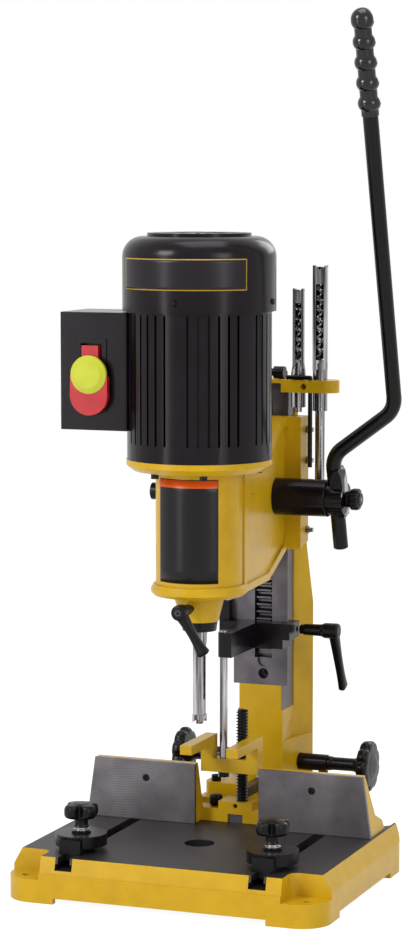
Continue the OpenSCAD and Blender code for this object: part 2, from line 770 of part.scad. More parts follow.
// ---- head casting ----
module head_casting() color("goldenrod") machine() {
    top = motor_z;
    difference() {
        union() {
            bar_z(barrel_bot, barrel_top, 0, 0, barrel_r);
            bar_z(barrel_top - 1, barrel_top + 6, 0, 0, barrel_r - 5);
            translate([0, 0, barrel_bot - lip_h]) rotate_extrude() polygon([[0, 0], [lip_r - 4, 0],
                [lip_r, 4], [lip_r, lip_h - 3], [lip_r - 3, lip_h + 2], [0, lip_h + 2]]);
            translate([0, 0, collar_z]) cylinder(h = neck_len + 1, r1 = neck_r0, r2 = neck_r1);
            // flange under the motor
            translate([0, 0, top - 14]) rotate_extrude() polygon([[0, 0], [fin_r - 8, 0], [fin_r - 1, 5],
                [fin_r + 1, 7], [fin_r + 1, 14], [0, 14]]);
            // web from the barrel back to the slide, with the rim that stands round its side panels
            intersection() {
                translate([0, 0, collar_z]) linear_extrude(slide_z1 - collar_z) web_plan(web_rim);
                side_profile([[0, barrel_bot - lip_h + 2], [125, barrel_bot - lip_h + 3],
                    [way_y - 5, slide_z0 - 5],
                    [way_back, slide_z0], [way_back, slide_z1], [way_y - 36, slide_z1],
                    [fin_r + 3, top], [0, top - 1]], -jaw_x, jaw_x);
            }
            // boss round the feed shaft
            bar_x(0, 42, gear_y, gear_z, housing_d / 2 + 4);
        }
        // side panels of the web, sunk inside the rim
        intersection() {
            translate([0, 0, collar_z]) linear_extrude(slide_z1 - collar_z) difference() {
                web_plan(20);
                web_plan(0);
            }
            side_profile([[26, barrel_bot - lip_h + 11], [122, barrel_bot - lip_h + 12],
                [way_y - 24, slide_z0 - 1], [way_y - 14, slide_z0 + 12], [way_y - 14, slide_z1 - 12],
                [way_y - 34, slide_z1 - 12], [fin_r + 10, top - 22], [26, top - 22]],
                -jaw_x - 20, jaw_x + 20);
        }
        // small pin hole in the right panel
        bar_x(barrel_r - 16, barrel_r + 5, 55, gear_z + 14.5, 1.8);
        // the web is hollow from below, like the inside of a channel
        intersection() {
            translate([0, 0, collar_z]) linear_extrude(slide_z1 - collar_z)
                polygon([[-43, barrel_r + 2], [43, barrel_r + 2],
                    [38 - web_wall, way_y - 18], [web_wall - 38, way_y - 18]]);
            side_profile([[barrel_r, 0], [way_y, 0], [way_y, slide_z0 + 18],
                [gear_y - gear_r - 8, slide_z0 + 18],
                [barrel_r, slide_z0 + 40]], -jaw_x, jaw_x);
        }
        // chuck space, bushing bore and shaft hole
        bar_z(barrel_bot + 6, barrel_top - 8, 0, 0, barrel_bore);
        bar_z(collar_z - 1, barrel_bot + 7, 0, 0, 15.5 + run);
        bar_z(barrel_top - 9, top + 1, 0, 0, shaft_d / 2 + 4);
        // way, with room for the gib on the right
        translate([0, 0, collar_z]) linear_extrude(400) way_outline(slide_gap);
        translate([gib_t + slide_gap, 0, collar_z]) linear_extrude(400) intersection() {
            way_outline(slide_gap);
            translate([0, way_y - slide_gap]) square([way_w, way_t + 20]);
        }
        // the left jaw ends higher, over the hold-down's stop post
        block([-jaw_x - 1, way_y - 15, slide_z0 - 8],
            [-way_w / 2 + 2, way_back + 1, slide_z0 + stop_post_h + 1]);
        // gear space, open to the rack
        bar_x(rack_x - gear_w / 2 - 1, rack_x + gear_w / 2 + 1, gear_y, gear_z, gear_r + feed_module + 1.2);
        // shaft bore and housing seat
        bar_x(-30, 60, gear_y, gear_z, feed_shaft_d / 2 + run);
        bar_x(30, 130, gear_y, gear_z, housing_d / 2 + run);
        // gib screws
        for (z = gib_screw_z())
            bar_x(way_w / 2, jaw_x + 5, way_y + 9, z, 3 + run);
        // access hole on the left, and the chisel clamp's thread
        bar_x(-barrel_r - 5, -barrel_bore + 5, 0, gear_z + 20, 8 + run);
        bar_y(-neck_r1 - 5, -10, 0, lock_z, 4 + run);
        // motor bolts
        for (a = motor_bolt_a())
            rotate(a) bar_z(top - 30, top + 1, fin_r - 14, 0, 3 + run);
    }
}
// plan of the web and the slide's jaws, with the web's sides moved out by g
module web_plan(g) {
    polygon([[-barrel_r + 3 - g, 14], [barrel_r - 3 + g, 14], [38 + g, way_y - 14], [jaw_x, way_y - 14],
        [jaw_x, way_back - 2], [-jaw_x, way_back - 2], [-jaw_x, way_y - 14], [-38 - g, way_y - 14]]);
}
function gib_screw_z() = [slide_z0 + 15, slide_z0 + 106, slide_z1 - 18];
function motor_bolt_a() = [-115, -65, 35, 145];

// ---- gib between the right jaw and the way ----
module gib() color("dimgray") machine() translate([0, 0, slide_z0 + 1])
    linear_extrude(slide_z1 - slide_z0 - 2) {
    edge = way_w / 2 + slide_gap;
    foot = neck_w / 2 + slide_gap + (way_w - neck_w) / (way_t - way_land);
    t = gib_t - 0.2;
    polygon([[edge, way_y + 0.5], [edge, way_y + way_land], [foot, way_back - 2], [foot + t, way_back - 2],
        [edge + t, way_y + way_land], [edge + t, way_y + 0.5]]);
}

module gib_screws() color("silver") machine() for (z = gib_screw_z()) {
    bar_x(way_w / 2 + gib_t + slide_gap - 1, jaw_x + 9, way_y + 9, z, 3);
    translate([jaw_x, way_y + 9, z]) rotate([0, 90, 0]) cylinder(h = 4, d = 10, $fn = 6);
}

// ---- bushing that takes the chisel's shank ----
module chisel_bushing() color("black") machine() difference() {
    union() {
        bar_z(collar_z, barrel_bot, 0, 0, 15.5);
        translate([0, 0, collar_z - 12]) cylinder(h = 12, r1 = 21, r2 = 23);
    }
    bar_z(0, 999, 0, 0, shank_d / 2 + run);
    bar_y(-30, 0, 0, lock_z, 4 + run);
}

// ---- working chisel, points down ----
module mortise_chisel() color("silver") machine() {
    w = chisel_w;
    bore = auger_d + 0.5;
    neck = collar_z - 22;
    difference() {
        union() {
            bar_z(neck, barrel_bot - 1, 0, 0, shank_d / 2);
            translate([0, 0, neck - 26]) cylinder(h = 26, d1 = w * 1.02, d2 = shank_d);
            translate([-w / 2, -w / 2, tip_z]) cube([w, w, neck - 10 - tip_z]);
            // the points flare out a little
            translate([0, 0, tip_z]) linear_extrude(9) round_rect(w + 2.4, w + 2.4, 0.8);
        }
        bar_z(0, 999, 0, 0, bore / 2);
        for (a = [0, 90]) rotate(a)
            translate([-w, 0, tip_z]) rotate([90, 0, 90]) linear_extrude(2 * w)
                polygon([[-w / 2 - 0.4, -1], [0, w * 0.34], [w / 2 + 0.4, -1]]);
        translate([w * 0.2, -w * 0.24, tip_z + 28]) cube([w, w * 0.48, 62]);
    }
}

// ---- plug in the barrel's access hole ----
module access_plug() color("black") machine() {
    bar_x(-barrel_r - 8, -barrel_r - 0.3, 0, gear_z + 20, 10.5);
    bar_x(-barrel_r - 0.4, -barrel_bore - 2, 0, gear_z + 20, 8);
}

// ---- motor ----
module motor_shell() color("black") machine() difference() {
    union() {
        bar_z(motor_z, cover_z + 1, 0, 0, fin_r);
        bar_z(cover_z, shell_top, 0, 0, cover_r - 2.3);
    }
    // grooves between the fins, in six groups with a wide fin between two groups
    for (i = [0:5], j = [-2.5:2.5]) rotate(i * 60 + 2.5 + j * fin_step)
        block([fin_r - fin_d, -fin_gap / 2, motor_z + band_h], [fin_r + 5, fin_gap / 2, cover_z - 3]);
    bar_z(motor_z + 8, shell_top + 1, 0, 0, fin_r - fin_d - 4);
    bar_z(motor_z - 1, motor_z + 9, 0, 0, shaft_d / 2 + 2);
    bar_z(motor_z + 3, motor_z + 9, 0, 0, 23.5 + run);
    for (a = motor_bolt_a())
        rotate(a) bar_z(motor_z - 1, motor_z + 16, fin_r - 14, 0, 3 + run);
    for (a = cover_screw_a())
        rotate([0, 0, a]) bar_x(60, 120, 0, cover_screw_z, 2 + run);
}
function cover_screw_a() = [-88, 2, 92, 182];

module end_bell() color("gray") machine() difference() {
    union() {
        bar_z(shell_top - 20, shell_top - 12, 0, 0, fin_r - fin_d - 4);
        bar_z(shell_top - 32, shell_top - 12, 0, 0, 30);
    }
    bar_z(shell_top - 33, shell_top - 18, 0, 0, 23.5 + run);
    bar_z(shell_top - 40, shell_top, 0, 0, shaft_d / 2 + 2);
}

module motor_bolts() color("dimgray") machine() for (a = motor_bolt_a())
    rotate(a) translate([fin_r - 14, 0, motor_z - 14]) rotate([180, 0, 0]) cap_screw(26, 6);

module stator() color("peru") machine() difference() {
    union() {
        bar_z(motor_z + 42, shell_top - 45, 0, 0, fin_r - fin_d - 4);
        bar_z(motor_z + 28, shell_top - 38, 0, 0, 70);
    }
    bar_z(0, 999, 0, 0, 44.6);
}

module motor_bearings() color("silver") machine() for (z = [motor_z + 3, shell_top - 32])
    translate([0, 0, z]) difference() {
        cylinder(h = 14, r = 23.5);
        translate([0, 0, -1]) cylinder(h = 16, d = shaft_d + 2 * run);
    }

module fan_cover() color("black") machine() difference() {
    wall_t = 2;
    translate([0, 0, cover_z]) rotate_extrude() difference() {
        cover_outline(0);
        cover_outline(wall_t);
    }
    // slots of the raised grille
    for (i = [0:grille_slots - 1]) rotate(i * 360 / grille_slots)
        block([20, -2.6, cover_top - 6], [grille_r - 6, 2.6, cover_top + 4]);
    for (a = cover_screw_a())
        rotate([0, 0, a]) bar_x(60, 120, 0, cover_screw_z, 2 + run);
}
// half outline of the fan cover, taken in by t
module cover_outline(t) {
    r = cover_r - t;
    h = cover_h - t - 4;
    s = shoulder_r - t;
    translate([0, t > 0 ? -1 : 0]) square([r, h - s + (t > 0 ? 1 : 0)]);
    translate([0, h - s - 0.01]) square([r - s, s + 0.01]);
    translate([r - s, h - s]) intersection() {
        circle(s);
        square(s);
    }
    translate([0, h - 1]) square([grille_r - t, 5]);
}

module fan_cover_screws() color("silver") machine() for (a = cover_screw_a())
    rotate([0, 0, a]) {
        bar_x(cover_r - 8, cover_r, 0, cover_screw_z, 2);
        translate([cover_r, 0, cover_screw_z]) rotate([0, 90, 0]) cylinder(h = 2.6, d1 = 9, d2 = 6.5);
    }

// ---- turning parts ----
module motor_shaft() color("silver") machine() {
    bar_z(chuck_z + 30, cover_top - 22, 0, 0, shaft_d / 2);
}

module rotor() color("gray") machine() difference() {
    bar_z(motor_z + 42, shell_top - 45, 0, 0, 44);
    bar_z(0, 999, 0, 0, shaft_d / 2);
}

module cooling_fan() color("black") machine() difference() {
    union() {
        bar_z(shell_top + 6, shell_top + 9, 0, 0, 70);
        bar_z(shell_top + 6, shell_top + 34, 0, 0, 18);
        for (i = [0:7]) rotate(i * 45) block([16, -1.2, shell_top + 8], [70, 1.2, shell_top + 34]);
    }
    bar_z(0, 999, 0, 0, shaft_d / 2);
}

module chuck_body() color("gray") machine() difference() {
    union() {
        translate([0, 0, chuck_z]) cylinder(h = 18, r1 = 13, r2 = 22);
        bar_z(chuck_z + 18, chuck_z + 50, 0, 0, 22);
        bar_z(chuck_z + 50, chuck_z + 60, 0, 0, 16);
    }
    bar_z(chuck_z + 30, 999, 0, 0, shaft_d / 2);
    bar_z(chuck_z - 1, chuck_z + 31, 0, 0, 8);
}

module chuck_jaws() color("silver") machine() for (i = [0:2])
    rotate(i * 120 + 30) intersection() {
        translate([0, 0, chuck_z - 6]) cylinder(h = 34, r = 7.9);
        block([auger_d * 0.36 + 0.1, -3.4, chuck_z - 5], [9, 3.4, chuck_z + 27]);
    }

module auger_bit() color("silver") machine() translate([0, 0, tip_z - 3])
    mirror([0, 0, 1]) translate([0, 0, -(chuck_z + 25 - tip_z + 3)])
        auger(auger_d, chuck_z + 25 - tip_z - 90, 93);

// ---- feed gear, shaft and lever ----
module feed_gear() color("gray") machine() translate([rack_x, gear_y, gear_z]) difference() {
    translate([-gear_w / 2, 0, 0]) rotate([90, 0, 90]) linear_extrude(gear_w) difference() {
        gear_outline(feed_module, feed_teeth);
        circle(feed_shaft_d / 2);
        for (i = [0:4]) rotate(i * 72 + 36) translate([gear_r * 0.58, 0]) circle(gear_r * 0.19);
    }
}

module feed_shaft() color("silver") machine() {
    bar_x(-29, housing_x, gear_y, gear_z, feed_shaft_d / 2);
    bar_x(housing_x - 1, hub_end + 12, gear_y, gear_z, lever_stud_d / 2);
}

module shaft_housing() color("black") machine() difference() {
    bar_x(30.5, housing_x, gear_y, gear_z, housing_d / 2);
    bar_x(0, 200, gear_y, gear_z, feed_shaft_d / 2 + run);
    bar_x(housing_x - 3, housing_x + 1, gear_y, gear_z, housing_d / 2 - 6);
}

module lever_hub() color("black") machine() difference() {
    union() {
        bar_x(housing_x + 0.3, hub_end, gear_y, gear_z, 21);
        // saddle that holds the lever
        lever_place() translate([0, 11, 0]) rotate([90, 0, 0]) linear_extrude(22)
            polygon([[lever_x - 3, -24], [hub_end - 1.5, -24], [hub_end, -12], [hub_end, 27],
                [hub_end - 1.5, 36], [hub_end - 4, 42], [lever_x - 3, 42]]);
    }
    bar_x(housing_x - 20, housing_x + 0.3, gear_y, gear_z, 60);
    lever_place() bar_z(-80, 80, lever_x, 0, lever_d / 2);
    bar_x(housing_x - 1, hub_end + 20, gear_y, gear_z, lever_stud_d / 2 + run);
}

// puts a shape drawn about the gear's axis, with the lever upright, at the lever's tilt
module lever_place() {
    translate([0, gear_y, gear_z]) rotate([lever_tilt, 0, 0]) children();
}

// lever points in X and Z about the gear's axis, its bends and its round bar
function lever_points() = [[lever_x, -67], [lever_x, lever_bend0], [lever_x + lever_out, lever_knee],
    [lever_x + lever_out, lever_up]];
// the bends are a hair fuller than the bar, and the bar's straight ends reach into them
module bent_bar(p, r, bend) {
    n = len(p);
    dir = [for (i = [0:n - 2]) (p[i + 1] - p[i]) / norm(p[i + 1] - p[i])];
    turn = [for (i = [1:n - 2]) acos(dir[i - 1] * dir[i])];
    trim = [for (i = [0:n - 1]) (i == 0 || i == n - 1) ? 0 : bend * tan(turn[i - 1] / 2) - 0.8];
    for (i = [0:n - 2]) {
        a = p[i] + dir[i] * trim[i];
        b = p[i + 1] - dir[i] * trim[i + 1];
        translate([a[0], 0, a[1]]) rotate([0, atan2(b[0] - a[0], b[1] - a[1]), 0])
            cylinder(h = norm(b - a), r = r);
    }
    for (i = [1:n - 2]) {
        u = dir[i - 1];
        side = u[0] * dir[i][1] - u[1] * dir[i][0] > 0 ? 1 : -1;
        inward = side * [-u[1], u[0]];
        o = p[i] - u * (trim[i] + 0.8) + inward * bend;
        a0 = atan2(-inward[1], -inward[0]);
        translate([o[0], 0, o[1]]) rotate([90, 0, 0]) rotate([0, 0, side > 0 ? a0 : a0 - turn[i - 1]])
            rotate_extrude(angle = turn[i - 1]) translate([bend, 0]) circle(r + 0.1);
    }
}
module feed_lever() color("black") machine() difference() {
    lever_place() bent_bar(lever_points(), lever_d / 2, lever_bend);
    bar_x(housing_x - 1, hub_end + 20, gear_y, gear_z, lever_stud_d / 2 + run);
}

module lever_grip() color("black") machine() {
    p = lever_points();
    r = grip_d / 2;
    step = (grip_len - 31) / 4;
    lever_place() translate([p[3][0], 0, p[3][1] + 15 - grip_len])
        difference() {
            rotate_extrude() difference() {
                union() {
                    square([r - 3.2, grip_len - 9]);
                    translate([0, grip_len - r]) intersection() {
                        circle(r);
                        square(r);
                    }
                    for (i = [0:grip_rings - 1])
                        translate([r - grip_round, grip_len - r - 2 - i * step]) circle(grip_round);
                }
                translate([-50, -50]) square([50, 300]);
                translate([-50, -50]) square([100, 50]);
            }
            translate([0, 0, -1]) cylinder(h = grip_len - 13, d = lever_d);
        }
}

// ---- star knob that clamps the lever's hub ----
module star_knob() color("black") machine() translate([hub_end + seat, gear_y, gear_z])
    rotate([0, 90, 0]) difference() {
        union() {
            lobed_knob(21, 7, 8);
            translate([0, 0, 6.9]) lobed_knob(28, 11, 8);
            translate([0, 0, 17.8]) cylinder(h = 2.5, d1 = 20, d2 = 15);
        }
        translate([0, 0, -1]) cylinder(h = 14, r = lever_stud_d / 2 + run);
    }

// ---- clamping lever of the chisel ----
module chisel_lock_lever() color("black") machine() translate([0, -neck_r1 - 3, lock_z]) {
    rotate([90, 57, 0]) clamp_lever(34, 17, 62, 0);
    bar_y(-1, neck_r1 + 3 - shank_d / 2 - seat, 0, 0, 4);
}

// ---- switch ----
module switch_box() color("dimgray") machine() difference() {
    x0 = -(fin_r - 15) - box_w;
    translate([0, 0, box_z]) linear_extrude(box_h) difference() {
        translate([x0 + box_w / 2, -box_front + box_d / 2]) round_rect(box_w, box_d, 3);
        circle(fin_r + seat);
    }
    // hollow for the switch
    block([switch_x - 18, -box_front - 1, switch_z - 44], [switch_x + 18, -box_front + 30, switch_z + 42]);
}

module switch_bezel() color("black") machine() difference() {
    union() {
        block([switch_x - 17.7, -box_front, switch_z - 43.7],
            [switch_x + 17.7, -box_front + 26, switch_z + 41.7]);
        block([switch_x - 20, -box_front - 1.5, switch_z - 46], [switch_x + 20, -box_front, switch_z + 44]);
    }
    block([switch_x - 14, -box_front - 3, switch_z - 40], [switch_x + 14, -box_front + 9, switch_z + 38]);
    bar_x(switch_x - 19, switch_x + 19, -box_front + 5, switch_z + 32, 1.5 + run);
}

// red paddle, hinged at its top inside the bezel
module switch_paddle() color("red") machine() difference() {
    union() {
        bar_x(switch_x - 16.5, switch_x + 16.5, -box_front + 5, switch_z + 32, 1.5);
        block([switch_x - 11, -box_front - 6, switch_z - 20],
            [switch_x + 11, -box_front + 7, switch_z + 35.5]);
        translate([switch_x, -box_front - 3, switch_z - 2]) rotate([90, 0, 0]) linear_extrude(7.5) {
            translate([0, -23]) circle(25);
            translate([-24.6, -23]) square([49.2, 23]);
        }
    }
    translate([switch_x, -box_front - 6.5, switch_z]) rotate([90, 0, 0])
        cylinder(h = 20, r = key_d / 2 + 0.3);
    bar_y(-box_front - 20, -box_front + 2, switch_x, switch_z, 5.3);
}

// round locking key, pulled out to the front
module switch_key() color("greenyellow") machine() {
    translate([switch_x, -box_front - 6.8, switch_z]) rotate([90, 0, 0]) {
        cylinder(h = 4.5, r = key_d / 2);
        translate([0, 0, 4.4]) cylinder(h = 3.8, r1 = key_d / 2, r2 = key_d / 2 - 7);
    }
    bar_y(-box_front - 8, -box_front + 1.5, switch_x, switch_z, 5);
}

// ---- hold-down ----
module hold_down_block() color("black") machine() difference() {
    union() {
        block([-hold_x, way_y - 22, hold_z], [hold_x, way_back - 1, hold_z + hold_h]);
        // stop post over the left jaw
        block([-hold_x - 5, way_y - 13, hold_z],
            [-way_w / 2 - 2, way_back - 1, hold_z + hold_h + stop_post_h]);
        // arm to the rod
        block([rod_x - arm_r, rod_y, hold_z + 1], [rod_x + 13, way_y - 20, hold_z + hold_h]);
        bar_z(hold_z + 1, hold_z + hold_h, rod_x, rod_y, arm_r);
        block([rod_x, rod_y - arm_r, hold_z + 1], [rod_x + 13, rod_y + 1, hold_z + hold_h]);
    }
    // the right jaw is shorter
    block([way_w / 2 + 1, way_y - 30, hold_z - 1], [hold_x + 1, way_back + 1, hold_z + 12]);
    translate([0, 0, hold_z - 1]) linear_extrude(hold_h + stop_post_h + 2) way_outline(slide_gap);
    bar_z(0, 999, rod_x, rod_y, rod_d / 2 + run);
    bar_x(way_w / 2 - 3, hold_x + 1, way_y + 8, hold_lever_z, 4 + run);
}
hold_lever_z = hold_z + hold_h - 10;
arm_r = 7;

module hold_down_rod() color("silver") machine() {
    bar_z(fork_z - 3, hold_z + hold_h + 2, rod_x, rod_y, rod_d / 2);
}

module hold_down_fork() color("goldenrod") machine() difference() {
    union() {
        // cross body with its floor between the prongs
        block([-fork_w / 2, fork_front, fork_z], [fork_w / 2, fork_back, fork_floor]);
        for (s = [-1, 1])
            side_profile([[fork_back, fork_z], [fork_back, fork_top], [fork_back - prong_len, fork_top],
                [fork_back - prong_len, fork_top - prong_t], [fork_front, fork_top - prong_t],
                [fork_front, fork_z]],
                s > 0 ? fork_w / 2 - prong_w : -fork_w / 2, s > 0 ? fork_w / 2 : -fork_w / 2 + prong_w);
    }
    bar_z(0, 999, rod_x, rod_y, rod_d / 2 + run);
    // slot behind, which lets the fence's post come forward
    block([post_x - post_d / 2 - 1.5, fork_front + 4.5 + post_d / 2, 0],
        [post_x + post_d / 2 + 1.5, fork_back + 1, 999]);
    bar_z(0, 999, post_x, fork_front + 4.5 + post_d / 2, post_d / 2 + 1.5);
}

module fork_nut() color("black") machine() difference() {
    translate([rod_x, rod_y, fork_z - 7]) cylinder(h = 7, d = 15, $fn = 6);
    bar_z(fork_z - 3, fork_z + 1, rod_x, rod_y, rod_d / 2 + run);
}

module hold_down_lever() color("black") machine() translate([hold_x + 4.5, way_y + 8, hold_lever_z]) {
    rotate([0, 90, 0]) rotate([0, 0, 24]) clamp_lever(50, 20, 92, 4);
    bar_x(-4.5 - hold_x + way_w / 2 + 1, 1, 0, 0, 4);
}

// ---- fence ----
function upright(x0, x1, slant) = [[x0, table_h + fence_gap], [x1 + slant, table_h + fence_gap],
    [x1, table_h + plate_h], [x0, table_h + plate_h]];

module fence_casting() color("goldenrod") machine() difference() {
    union() {
        for (s = [-1, 1]) mirror([s > 0 ? 0 : 1, 0, 0]) {
            // upright behind the plate
            translate([0, fence_y + plate_t + 8, 0]) rotate([90, 0, 0]) linear_extrude(8)
                polygon(upright(plate_x0 + 1, plate_x1 - 1, plate_slant));
            // inner web, outer web and foot
            side_profile([[fence_y + plate_t, table_h + fence_gap],
                [fence_y + 31 + plate_t, table_h + fence_gap],
                [fence_y + 15, table_h + plate_h - 2], [fence_y + plate_t, table_h + plate_h - 2]],
                plate_x0 + 1, plate_x0 + 8);
            intersection() {
                side_profile([[fence_y + plate_t, table_h + fence_gap], [fence_y + 62, table_h + fence_gap],
                    [fence_y + 57, table_h + 13], [fence_y + 33, table_h + 24],
                    [fence_y + 15, table_h + plate_h - 4], [fence_y + plate_t, table_h + plate_h - 4]],
                    plate_x1 - 12, plate_x1 + plate_slant);
                translate([0, fence_y + 90, 0]) rotate([90, 0, 0]) linear_extrude(90)
                    polygon(upright(plate_x1 - 12, plate_x1 - 1, plate_slant));
            }
            side_profile([[fence_y + plate_t, table_h + fence_gap], [fence_y + 38, table_h + fence_gap],
                [fence_y + 36, table_h + 9], [fence_y + plate_t, table_h + 12]], plate_x0 + 1, plate_x1);
        }
        // cross bar and centre block
        block([-plate_x0 - 8, fence_block_y, table_h + fence_gap],
            [plate_x0 + 8, fence_block_y + 26, fence_bar_top]);
        block([block_x - block_w / 2, fence_block_y, table_h + fence_gap],
            [block_x + block_w / 2, fence_block_y + fence_block_d, fence_block_top]);
    }
    // notch over the guide key
    block([block_x - key_w / 2 - slide_gap, fence_block_y - 1, table_h - 1],
        [block_x + key_w / 2 + slide_gap, fence_block_y + 60, table_h + key_h + 0.5]);
    // seat of the threaded post, its set screw and the lock knob's thread
    bar_z(table_h + key_h, 999, post_x, post_y, post_d / 2 + run);
    bar_y(fence_block_y - 1, post_y, block_x, fence_block_top - 5, 3 + run);
    bar_z(table_h, fence_bar_top + 1, -plate_x0 + 13, fence_block_y + 18, 4 + run);
    for (p = plate_screw_xz())
        bar_y(fence_y, fence_y + plate_t + 9, p[0], p[1], 2.5 + run);
}
function plate_screw_xz() = [for (s = [-1, 1])
    [s * (plate_x0 + plate_x1) / 2 + 2, table_h + plate_h * 0.71]];

module fence_plates() color("gray") machine() for (s = [-1, 1]) difference() {
    mirror([s > 0 ? 0 : 1, 0, 0]) translate([0, fence_y + plate_t, 0]) rotate([90, 0, 0])
        linear_extrude(plate_t) polygon(upright(plate_x0, plate_x1, plate_slant));
    for (p = plate_screw_xz())
        translate([p[0], fence_y - 0.01, p[1]]) rotate([-90, 0, 0]) {
            cylinder(h = 20, r = 2.5 + run);
            cylinder(h = 3.03, r = 4.8);
        }
}

module plate_screws() color("black") machine() for (p = plate_screw_xz())
    translate([p[0], fence_y + 3, p[1]]) rotate([90, 0, 0]) difference() {
        union() {
            translate([0, 0, -plate_t - 4]) cylinder(h = plate_t + 4.01, r = 2.5);
            cylinder(h = 2.4, r = 4.5);
        }
        translate([0, 0, 1]) cylinder(h = 3, r = 2.4, $fn = 6);
    }

module fence_rack() color("dimgray") machine() {
    z0 = fence_block_top;
    y0 = post_y + post_d / 2 + 2;
    y1 = fence_shaft_y + 28;
    p = fence_module * PI;
    t = p / 4 - 0.25;
    m = fence_module;
    block([block_x - 6, y0, z0], [block_x + 6, y1, fence_rack_z - 1.25 * m]);
    for (i = [-8:4])
        translate([block_x - 6, fence_shaft_y + i * p, fence_rack_z]) rotate([90, 0, 90]) linear_extrude(12)
            polygon([[-t - m * 0.5, -m * 1.3], [t + m * 0.5, -m * 1.3],
                [t - m * 0.36, m], [-t + m * 0.36, m]]);
}

module threaded_post() color("black") machine() {
    bar_z(table_h + key_h + 1, post_top - 2, post_x, post_y, post_d / 2);
    translate([post_x, post_y, post_top - 2.01]) cylinder(h = 2, r1 = post_d / 2, r2 = post_d / 2 - 1.5);
}

module fence_shaft() color("silver") machine() {
    bar_x(-column_w / 2 - 36 - knob_reach_l, column_w / 2 + 36 + knob_reach_r,
        fence_shaft_y, fence_shaft_z, fence_shaft_d / 2);
    translate([block_x - 6, fence_shaft_y, fence_shaft_z]) rotate([90, 0, 90]) linear_extrude(12)
        rotate(-90) gear_outline(fence_module, fence_teeth);
}

module fence_knobs() color("black") machine() for (s = [-1, 1])
    translate([s * (column_w / 2 + 32.3), fence_shaft_y, fence_shaft_z])
    rotate([0, s * 90, 0]) difference() {
        reach = s > 0 ? knob_reach_r : knob_reach_l;
        union() {
            cylinder(h = reach, r = 9.5);
            translate([0, 0, reach - 5]) cylinder(h = 6, r1 = 10, r2 = 20);
            translate([0, 0, reach]) lobed_knob(fence_knob_d, 15, 9, 0.535, 0.075);
            translate([0, 0, reach + 14.9]) cylinder(h = 2, r1 = 25, r2 = 22);
        }
        translate([0, 0, -1]) cylinder(h = reach + 6, r = fence_shaft_d / 2);
    }

module fence_lock_knob() color("black") machine()
    translate([-plate_x0 + 13, fence_block_y + 18, fence_bar_top + 0.3]) {
    lobed_knob(17.5, 13, 5);
    translate([0, 0, 12.9]) cylinder(h = 3, r1 = 6, r2 = 4);
    translate([0, 0, -fence_bar_top + table_h + 1]) cylinder(h = fence_bar_top - table_h, r = 4);
}

// ---- work stops ----
stop_stud_r = 5;
disc_z = table_h + disc_gap;
module work_stop(s) machine() translate([s * slot_x, -stop_y, 0]) {
    difference() {
        union() {
            bar_z(disc_z, disc_z + disc_t, 0, 0, disc_d / 2);
            // lug over the slot
            block([-14, -disc_d / 2 - 6 + 2, table_h + 0.3], [14, 10, disc_z + disc_t - 3]);
            block([-slot_neck / 2 + 0.4, -disc_d / 2 - 2, table_h - slot_neck_h + 0.3],
                [slot_neck / 2 - 0.4, 8, table_h + 1]);
        }
        bar_z(0, 999, 0, 0, stop_stud_r + run);
    }
    // T-nut, stud and washer
    block([-slot_wide / 2 + 0.5, -12, table_h - slot_neck_h - slot_wide_h + 0.3],
        [slot_wide / 2 - 0.5, 12, table_h - slot_neck_h - 0.3]);
    bar_z(table_h - slot_neck_h - 1, disc_z + disc_t + 30, 0, 0, stop_stud_r);
    difference() {
        bar_z(disc_z + disc_t, disc_z + disc_t + 2.5, 0, 0, 12);
        bar_z(0, 999, 0, 0, stop_stud_r);
    }
}
module stop_knob(s) machine() translate([s * slot_x, -stop_y, disc_z + disc_t + 2.8]) difference() {
    union() {
        cylinder(h = 18, r1 = 9, r2 = 10);
        translate([0, 0, 17.9]) lobed_knob(stop_knob_d, 15, 4);
        translate([0, 0, 32.8]) cylinder(h = 2, r1 = 9, r2 = 7);
    }
    translate([0, 0, -1]) cylinder(h = 29, r = stop_stud_r + run);
}
module stop_left() color("black") work_stop(-1);
module stop_right() color("black") work_stop(1);
module stop_knob_left() color("black") stop_knob(-1);
module stop_knob_right() color("black") stop_knob(1);

base();
column();
dovetail_way();
feed_rack();
frame_screws();
tool_holder();
spare_chisels();
spare_augers();
chuck_key();
hex_wrench();
guide_key();
shaft_bushings();
head_casting();
gib();
gib_screws();
chisel_bushing();
mortise_chisel();
access_plug();
motor_shell();
end_bell();
motor_bolts();
stator();
motor_bearings();
fan_cover();
fan_cover_screws();
switch_box();
switch_bezel();
shaft_housing();
motor_shaft();
rotor();
cooling_fan();
chuck_body();
chuck_jaws();
auger_bit();
feed_gear();
feed_shaft();
lever_hub();
feed_lever();
lever_grip();
star_knob();
chisel_lock_lever();
switch_paddle();
switch_key();
hold_down_block();
hold_down_rod();
hold_down_fork();
fork_nut();
hold_down_lever();
fence_casting();
fence_plates();
plate_screws();
fence_rack();
threaded_post();
fence_shaft();
fence_knobs();
fence_lock_knob();
stop_left();
stop_knob_left();
stop_right();
stop_knob_right();
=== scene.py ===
import json
import math

